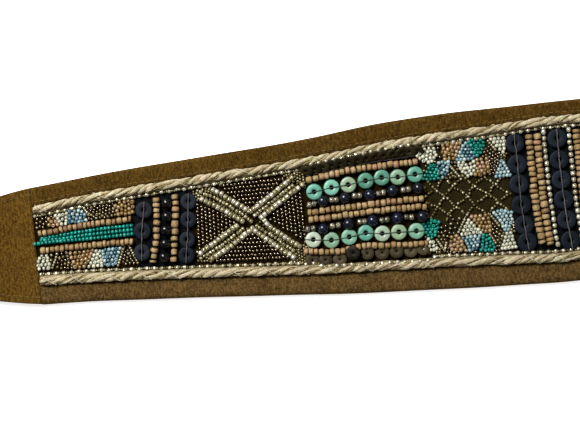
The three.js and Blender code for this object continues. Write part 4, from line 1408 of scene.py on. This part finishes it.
def make_patches():
    beads = bpy.context.scene.belt_beads
    seed, bronze = beads.seed / MM, beads.bronze / MM
    for word, sign in HALVES:
        spots = {"white": [], "blue": [], "teal": [], "tan": [], "bronze": [], "gunmetal": []}
        rng = chance("patches", word)
        taken = []
        for line in EDGE_LINES:
            places = walk(mirrored(line, sign), 1.35)
            taken += places
            spots["gunmetal"] += seed_spots(places, 1.35, rng, 0.0, 0.1, 1.0, (0.5, 1.0))
        for colour, outline, turn in PATCHES:
            width = seed * BEAD_ACROSS[colour]
            angle = math.radians(turn if sign < 0 else 180 - turn)
            places = packed(mirrored(outline, sign), width * 0.97, rng, angle, taken, 0.45 * width)
            places = clear_of(places, taken, 0.72 * width)
            taken += places
            # A sky patch has the paler half of the blue beads.
            tones = (0.55, 1.0) if colour == "sky" else (0.0, 1.0)
            group = spots["blue" if colour == "sky" else colour]
            group += seed_spots(places, width, rng, 0.1, 0.4, 0.82, tones)
        for outline in BANDS:
            places = clear_of(packed(mirrored(outline, sign), 1.75, rng, 0.3, taken, 1.1), taken, 1.5)
            bright = rng.uniform(size=len(places)) < 0.36
            bright &= [not inside(mirrored(DARK_FILLING, sign), x, y) for x, y, _ in places]
            dim = [place for place, lit in zip(places, bright) if not lit]
            spots["bronze"] += seed_spots(dim, bronze, rng, 0.05, 0.6)
            lit = [place for place, lit in zip(places, bright) if lit]
            spots["gunmetal"] += seed_spots(lit, bronze, rng, 0.05, 0.6, 0.8, (0.1, 0.85))
        for line in TEAL_ROWS:
            places = walk(mirrored(line, sign), 1.88)
            spots["teal"] += seed_spots(places, seed, rng, 0.0, 0.1, 0.86, (0.2, 1.0))
        for colour, rows in spots.items():
            shape = SMALL_SEED if colour in ("bronze", "gunmetal") else SEED
            strew(f"{word}_seed_{colour}", shape, rows, colour, "seed_bead")


# What lies between the lines of each arm, and the corners beside the arms' ends.
CROSS_FIELDS = [CROSS_LINES[i] + CROSS_LINES[i + 1][::-1] for i in (0, 2, 4, 6)] + [
    [(-184.5, 19.2), (-173.8, 20.2), (-174.5, 18.2), (-179.8, 14), (-184.4, 13)],
    [(-185, -10), (-183, -12), (-178, -15.6), (-173.5, -15.4), (-176, -17.4), (-185, -17)],
    [(-133.8, 19.8), (-137.5, 20.2), (-138.5, 22.4), (-127.4, 23.6), (-127, 14), (-129.2, 16)],
    [(-133, -13.8), (-128.8, -12), (-127.8, -17), (-130, -23.8), (-139, -21.8), (-137, -18.6)]]


def make_cross():
    beads = bpy.context.scene.belt_beads
    for word, sign in HALVES:
        rng = chance("cross", word)
        silver, bronze, gold, taken = [], [], [], []
        for line in CROSS_LINES:
            places = walk(mirrored(line, sign), 2.3)
            taken += places
            for x, y, turn in places:
                width = beads.silver / MM * rng.uniform(0.95, 1.12)
                silver.append(spot(
                    x + rng.normal(0, 0.1), y + rng.normal(0, 0.1),
                    BEAD_BASE + width / 2 + rng.uniform(0, 0.3),
                    (2.25 * rng.uniform(0.9, 1.05), width, width), turn + rng.normal(0, 0.12),
                    rng.normal(0, 0.1), rng.uniform(0, 6.3), rng.uniform(0.15, 1.05)))
        for line in CROSS_CORES:
            places = walk(mirrored(line, sign), 1.8)
            taken += places
            for x, y, turn in places:
                width = 1.95 * rng.uniform(0.9, 1.1)
                silver.append(spot(
                    x + rng.normal(0, 0.15), y + rng.normal(0, 0.15), BEAD_BASE + width / 2,
                    (width * 0.85, width, width), turn + rng.normal(0, 0.3), rng.normal(0, 0.2),
                    rng.uniform(0, 6.3), rng.uniform(0, 0.6)))
        for outline, base in TRIANGLES:
            places = rows_in(mirrored(outline, sign), 1.85, 2.0, mirrored(base, sign), rng)
            places = clear_of(places, taken, 1.5)
            taken += places
            bronze += seed_spots(places, beads.bronze / MM, rng, 0.0, 0.2, 0.9)
        for i, field in enumerate(CROSS_FIELDS):
            places = clear_of(packed(mirrored(field, sign), 1.5, rng, 0.5, taken, 1.1), taken, 1.3)
            gold += seed_spots(places, 1.4, rng, 0.0, 0.6, 0.9, (-0.7, 0.1) if i < 4 else (0.0, 0.9))
        strew(f"{word}_cross_silver", TUBE, silver, "silver", "seed_bead")
        strew(f"{word}_cross_bronze", SMALL_SEED, bronze, "bronze", "seed_bead")
        strew(f"{word}_cross_gold", SMALL_SEED, gold, "gunmetal", "seed_bead")


LATTICE = [
    [(-66, 11.2), (-63, 7.3), (-58.7, 3.2), (-53.8, -2.2), (-48.6, -7.3)],
    [(-56.3, 10.3), (-54, 8), (-47, 2.3), (-44, -2.5), (-39.5, -7)],
    [(-47.2, 11.2), (-43.8, 7.2), (-36.8, 2.3), (-32, -2.2), (-27.8, -7)],
    [(-37.6, 10.6), (-33, 7), (-29.5, 3.6), (-26, 1.5)],
    [(-68.2, 1.3), (-62.8, -1.8), (-57, -6.8)],
    [(-67.8, 4.6), (-63, 7.3), (-59.6, 11.4)],
    [(-66.6, -6.8), (-62.8, -1.8), (-58.7, 3.2), (-54, 8), (-49.8, 11)],
    [(-58.6, -8), (-53.8, -2.2), (-47, 2.3), (-43.8, 7.2), (-38, 10.7)],
    [(-48.8, -7.4), (-44, -2.5), (-36.8, 2.3), (-33, 7), (-28.6, 9.8)],
    [(-37.6, -7.6), (-32, -2.2), (-26, 1.5)],
    [(-68.4, 8.6), (-68.4, 2), (-68.2, -6)],
]


def make_lattice():
    """Diamond net of tiny beads on the dark cloth near the middle."""
    beads = bpy.context.scene.belt_beads
    for word, sign in HALVES:
        rng = chance("lattice", word)
        spots, taken = [], []
        for line in LATTICE:
            places = clear_of(walk(mirrored(line, sign), 1.62), taken, 1.15)
            taken += places
            for i, (x, y, turn) in enumerate(places):
                bright = i % 2 == 0 and rng.uniform() < 0.8
                width = beads.lattice / MM * (rng.uniform(1.1, 1.25) if bright else rng.uniform(0.95, 1.15))
                spots.append(spot(
                    x + rng.normal(0, 0.18), y + rng.normal(0, 0.18), BEAD_BASE + width / 2 + 0.05,
                    (width, width, width), turn + rng.normal(0, 0.3), rng.normal(0, 0.2),
                    rng.uniform(0, 6.3), rng.uniform(0.4, 1) if bright else rng.uniform(0.05, 0.4)))
        strew(f"{word}_lattice", SMALL_SEED, spots, "gunmetal", "seed_bead")


def make_bead_lines():
    """A bright bead and two dim ones, over and over, along the inner edge of each cord."""
    silver, dim = [], []
    rng = chance("bead lines")
    for word, line, drop in (("upper", upper_cord_y, -3.3), ("lower", lower_cord_y, 3.4)):
        # Painted light: the upper line's dim beads get lighter tones, against the shade that the upper cord
        # casts on them.
        painted_light = 0.2 if word == "upper" else 0
        zigzag = []
        for x in np.arange(-FIELD_END + 1, FIELD_END - 0.5, 3.78):
            # Along the brown discs the line climbs onto the cord's edge.
            near_brown = 70 < abs(x) < 127
            shift = drop * (0.5 if near_brown else 1.0)
            lift = 1.9 if near_brown else 0.0
            y = line(x) + shift + rng.normal(0, 0.12)
            width = rng.uniform(1.9, 2.15)
            silver.append(spot(
                x, y, BEAD_BASE + width / 2 + 0.2 + lift, (width * 0.9, width, width), rng.normal(0, 0.2),
                rng.normal(0, 0.2), rng.uniform(0, 6), rng.uniform(0.6, 1)))
            zigzag.append((x + rng.normal(0, 0.15), line(x) + drop * 0.78, BEAD_BASE + 0.9 + lift))
            foot = line(x + 1.89) + drop * 0.5
            zigzag.append((x + 1.89 + rng.normal(0, 0.15), foot, BEAD_BASE + 1.5 + lift * 0.6))
            for ahead in (1.3, 2.5):
                width = rng.uniform(1.25, 1.6)
                dim.append(spot(
                    x + ahead, line(x + ahead) + shift + rng.normal(0, 0.15), BEAD_BASE + width / 2 + lift,
                    (width * 0.9, width, width), rng.normal(0, 0.3), rng.normal(0, 0.2), rng.uniform(0, 6),
                    rng.uniform(-0.2, 0.8) + painted_light))
        turns = np.array(zigzag)
        path = np.concatenate([np.linspace(a, b, 4)[:-1] for a, b in zip(turns, turns[1:])])
        thread_piece(f"{word}_zigzag", path, 0.26, 5, "gold_thread")
    strew("bead_line_silver", SEED, silver, "silver", "seed_bead")
    strew("bead_line_gunmetal", SMALL_SEED, dim, "gunmetal", "seed_bead")


# Buckle.

def corner_loop(x0, x1, y0, y1, radius):
    """A rectangle with round corners, as a closed loop of points."""
    points = []
    for cx, cy, start in ((x1 - radius, y0 + radius, -90), (x1 - radius, y1 - radius, 0),
                          (x0 + radius, y1 - radius, 90), (x0 + radius, y0 + radius, 180)):
        for k in range(9):
            a = math.radians(start + k * 90 / 8)
            points.append((cx + radius * math.cos(a), cy + radius * math.sin(a)))
    return points


def make_buckle():
    """Cast brass frame with soft edges, and a peg with a small head."""
    low, high = (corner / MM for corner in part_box("buckle"))
    outer_bar, side, bar, thick = 5.0, 4.6, 2.8, 2.8
    bm = bmesh.new()
    rims = []
    for loop in (corner_loop(low.x, high.x, low.y, high.y, 2.6),
                 corner_loop(low.x + outer_bar, high.x - bar, low.y + side, high.y - side, 1.6)):
        verts = [bm.verts.new((x * MM, y * MM, low.z * MM)) for x, y in loop]
        rims += [bm.edges.new((a, b)) for a, b in zip(verts, verts[1:] + verts[:1])]
    filled = bmesh.ops.triangle_fill(bm, use_beauty=True, use_dissolve=False, edges=rims)["geom"]
    faces = [part for part in filled if isinstance(part, bmesh.types.BMFace)]
    raised = bmesh.ops.extrude_face_region(bm, geom=faces)["geom"]
    verts = [part for part in raised if isinstance(part, bmesh.types.BMVert)]
    bmesh.ops.translate(bm, verts=verts, vec=(0, 0, thick * MM))
    bmesh.ops.recalc_face_normals(bm, faces=bm.faces)
    sharp = [edge for edge in bm.edges if edge.is_manifold and edge.calc_face_angle() > 1.2]
    bmesh.ops.bevel(
        bm, geom=sharp, offset=0.75 * MM, offset_type="OFFSET", segments=3, profile=0.5, affect="EDGES",
        material=-1, clamp_overlap=True)
    # Height and radius of the peg. It is turned at the origin, apart from the frame, and then moved.
    profile = [
        (0, 0), (0, 1.5), (2.9, 1.5), (3.1, 1.62), (3.5, 1.78), (3.9, 1.78), (4.2, 1.55), (4.42, 1.0),
        (4.5, 0)]
    verts = [bm.verts.new((out * MM, 0, up * MM)) for up, out in profile]
    edges = [bm.edges.new(pair) for pair in zip(verts, verts[1:])]
    bmesh.ops.spin(
        bm, geom=verts + edges, axis=(0, 0, 1), cent=(0, 0, 0), angle=2 * math.pi, steps=28, use_merge=True,
        use_duplicate=False)
    around = {vert for face in bm.faces for vert in face.verts if vert.co.x > -0.1}
    bmesh.ops.remove_doubles(bm, verts=list(around), dist=1e-6)
    around = [vert for vert in bm.verts if vert.co.x > -0.1]
    head = {face for vert in around for face in vert.link_faces}
    bmesh.ops.recalc_face_normals(bm, faces=list(head))
    bmesh.ops.translate(
        bm, verts=around, vec=((low.x + outer_bar / 2) * MM, 0, (low.z + thick - 0.5) * MM))
    finish_piece("buckle_frame", bm, "brass", "brass", "buckle")


# Stage.

def add_light(name, place, size, power, target):
    """A round light that faces a point."""
    lamp = bpy.data.lights.new(name, "AREA")
    lamp.shape = "DISK"
    lamp.size = size
    lamp.energy = power
    light = object_from(name, lamp)
    light.location = place
    light.rotation_euler = (light.location - Vector(target)).normalized().to_track_quat("Z", "Y").to_euler()


def make_stage():
    view = bpy.context.scene.belt_view
    middle = Vector(view.middle)
    camera_data = bpy.data.cameras.new("camera")
    camera_data.lens = view.lens
    camera_data.sensor_width = SENSOR
    camera_data.clip_start = 0.02
    camera_data.clip_end = 30
    camera = object_from("camera", camera_data)
    camera.location = middle + Vector((0, 0, view.width / SENSOR * view.lens))
    camera.rotation_euler = (0, 0, -view.turn)
    bpy.context.scene.camera = camera

    bm = bmesh.new()
    bmesh.ops.create_grid(bm, x_segments=8, y_segments=8, size=4)
    bmesh.ops.translate(bm, verts=bm.verts, vec=(0, 0, -0.0002))
    floor = object_from("floor", mesh_from("floor", bm))
    # The floor glows faintly: painted light that lifts the shadows cast on it.
    finish = Finish("pale_floor", Roughness=0.8, Specular_IOR_Level=0.1, Emission_Strength=0.75)
    finish.set("Base Color", finish.mix(finish.noise(600, 2) * 0.3, (0.93, 0.93, 0.93), (0.88, 0.88, 0.88)))
    floor.data.materials.append(finish.material)

    add_light("key_light", middle + Vector((-0.42, 0.62, 0.85)), 0.42, view.key, middle)
    add_light("fill_light", middle + Vector((0.8, -0.3, 1.0)), 1.2, view.key * 0.06, middle)

    world = bpy.data.worlds.new("studio")
    bpy.context.scene.world = world
    world.use_nodes = True
    background = world.node_tree.nodes["Background"]
    background.inputs["Color"].default_value = (1, 0.85, 0.6, 1)
    background.inputs["Strength"].default_value = 0.11
    bpy.context.scene.view_settings.view_transform = "Standard"


# Operators, one for each group of pieces.

class BELT_OT_finishes(bpy.types.Operator):
    """Make the materials"""

    bl_idname = "belt.finishes"
    bl_label = "Finishes"

    def execute(self, context):
        finishes.update(make_finishes())
        return {"FINISHED"}


class BELT_OT_suede(bpy.types.Operator):
    """Make the suede backing, borders and tabs, the cloth under the beads and the stitches"""

    bl_idname = "belt.suede"
    bl_label = "Suede and cloth"

    def execute(self, context):
        make_borders()
        make_right_tab()
        make_left_tab()
        make_backing()
        make_cloth()
        make_stitches()
        return {"FINISHED"}


class BELT_OT_cords(bpy.types.Operator):
    """Make the twisted cords and the thread that holds them down"""

    bl_idname = "belt.cords"
    bl_label = "Cords"

    def execute(self, context):
        make_cords()
        make_couching()
        return {"FINISHED"}


class BELT_OT_wood(bpy.types.Operator):
    """Make the strings of wood beads"""

    bl_idname = "belt.wood"
    bl_label = "Wood beads"

    def execute(self, context):
        make_wood()
        return {"FINISHED"}


class BELT_OT_discs(bpy.types.Operator):
    """Make the navy, turquoise and dark brown discs with their sewing thread"""

    bl_idname = "belt.discs"
    bl_label = "Discs"

    def execute(self, context):
        make_navy_discs()
        make_turquoise()
        make_brown_discs()
        return {"FINISHED"}


class BELT_OT_balls(bpy.types.Operator):
    """Make the navy balls and the silver beads beside them"""

    bl_idname = "belt.balls"
    bl_label = "Balls"

    def execute(self, context):
        make_balls()
        make_middle_silver()
        return {"FINISHED"}


class BELT_OT_seed_beads(bpy.types.Operator):
    """Make the seed beads: coloured patches, cross, lattice and the lines along the cords"""

    bl_idname = "belt.seed_beads"
    bl_label = "Seed beads"

    def execute(self, context):
        make_patches()
        make_cross()
        make_lattice()
        make_bead_lines()
        return {"FINISHED"}


class BELT_OT_buckle(bpy.types.Operator):
    """Make the brass buckle"""

    bl_idname = "belt.buckle"
    bl_label = "Buckle"

    def execute(self, context):
        make_buckle()
        return {"FINISHED"}


class BELT_OT_stage(bpy.types.Operator):
    """Make the floor, the lights and the camera"""

    bl_idname = "belt.stage"
    bl_label = "Stage"

    def execute(self, context):
        make_stage()
        return {"FINISHED"}


STEPS = (
    BELT_OT_stage, BELT_OT_finishes, BELT_OT_suede, BELT_OT_cords, BELT_OT_wood, BELT_OT_discs,
    BELT_OT_balls, BELT_OT_seed_beads, BELT_OT_buckle,
)


class BELT_PT_panel(bpy.types.Panel):
    """Sizes, colours and steps of the beaded belt"""

    bl_idname = "BELT_PT_panel"
    bl_label = "Beaded belt"
    bl_space_type = "VIEW_3D"
    bl_region_type = "UI"
    bl_category = "Belt"

    def draw(self, context):
        layout = self.layout
        for group in (context.scene.belt_beads, context.scene.belt_colours, context.scene.belt_view):
            for key in group.__annotations__:
                layout.prop(group, key)
        for step in STEPS:
            layout.operator(step.bl_idname)


GROUPS = (("belt_beads", BeltBeads), ("belt_colours", BeltColours), ("belt_view", BeltView))


def register():
    for name, group in GROUPS:
        bpy.utils.register_class(group)
        setattr(bpy.types.Scene, name, PointerProperty(type=group))
    for step in STEPS:
        bpy.utils.register_class(step)
    bpy.utils.register_class(BELT_PT_panel)


def unregister():
    bpy.utils.unregister_class(BELT_PT_panel)
    for step in reversed(STEPS):
        bpy.utils.unregister_class(step)
    for name, group in reversed(GROUPS):
        delattr(bpy.types.Scene, name)
        bpy.utils.unregister_class(group)


def main():
    register()
    bpy.ops.belt.stage()
    bpy.ops.belt.finishes()
    bpy.ops.belt.suede()
    bpy.ops.belt.cords()
    bpy.ops.belt.wood()
    bpy.ops.belt.discs()
    bpy.ops.belt.balls()
    bpy.ops.belt.seed_beads()
    bpy.ops.belt.buckle()


if __name__ == "__main__":
    main()
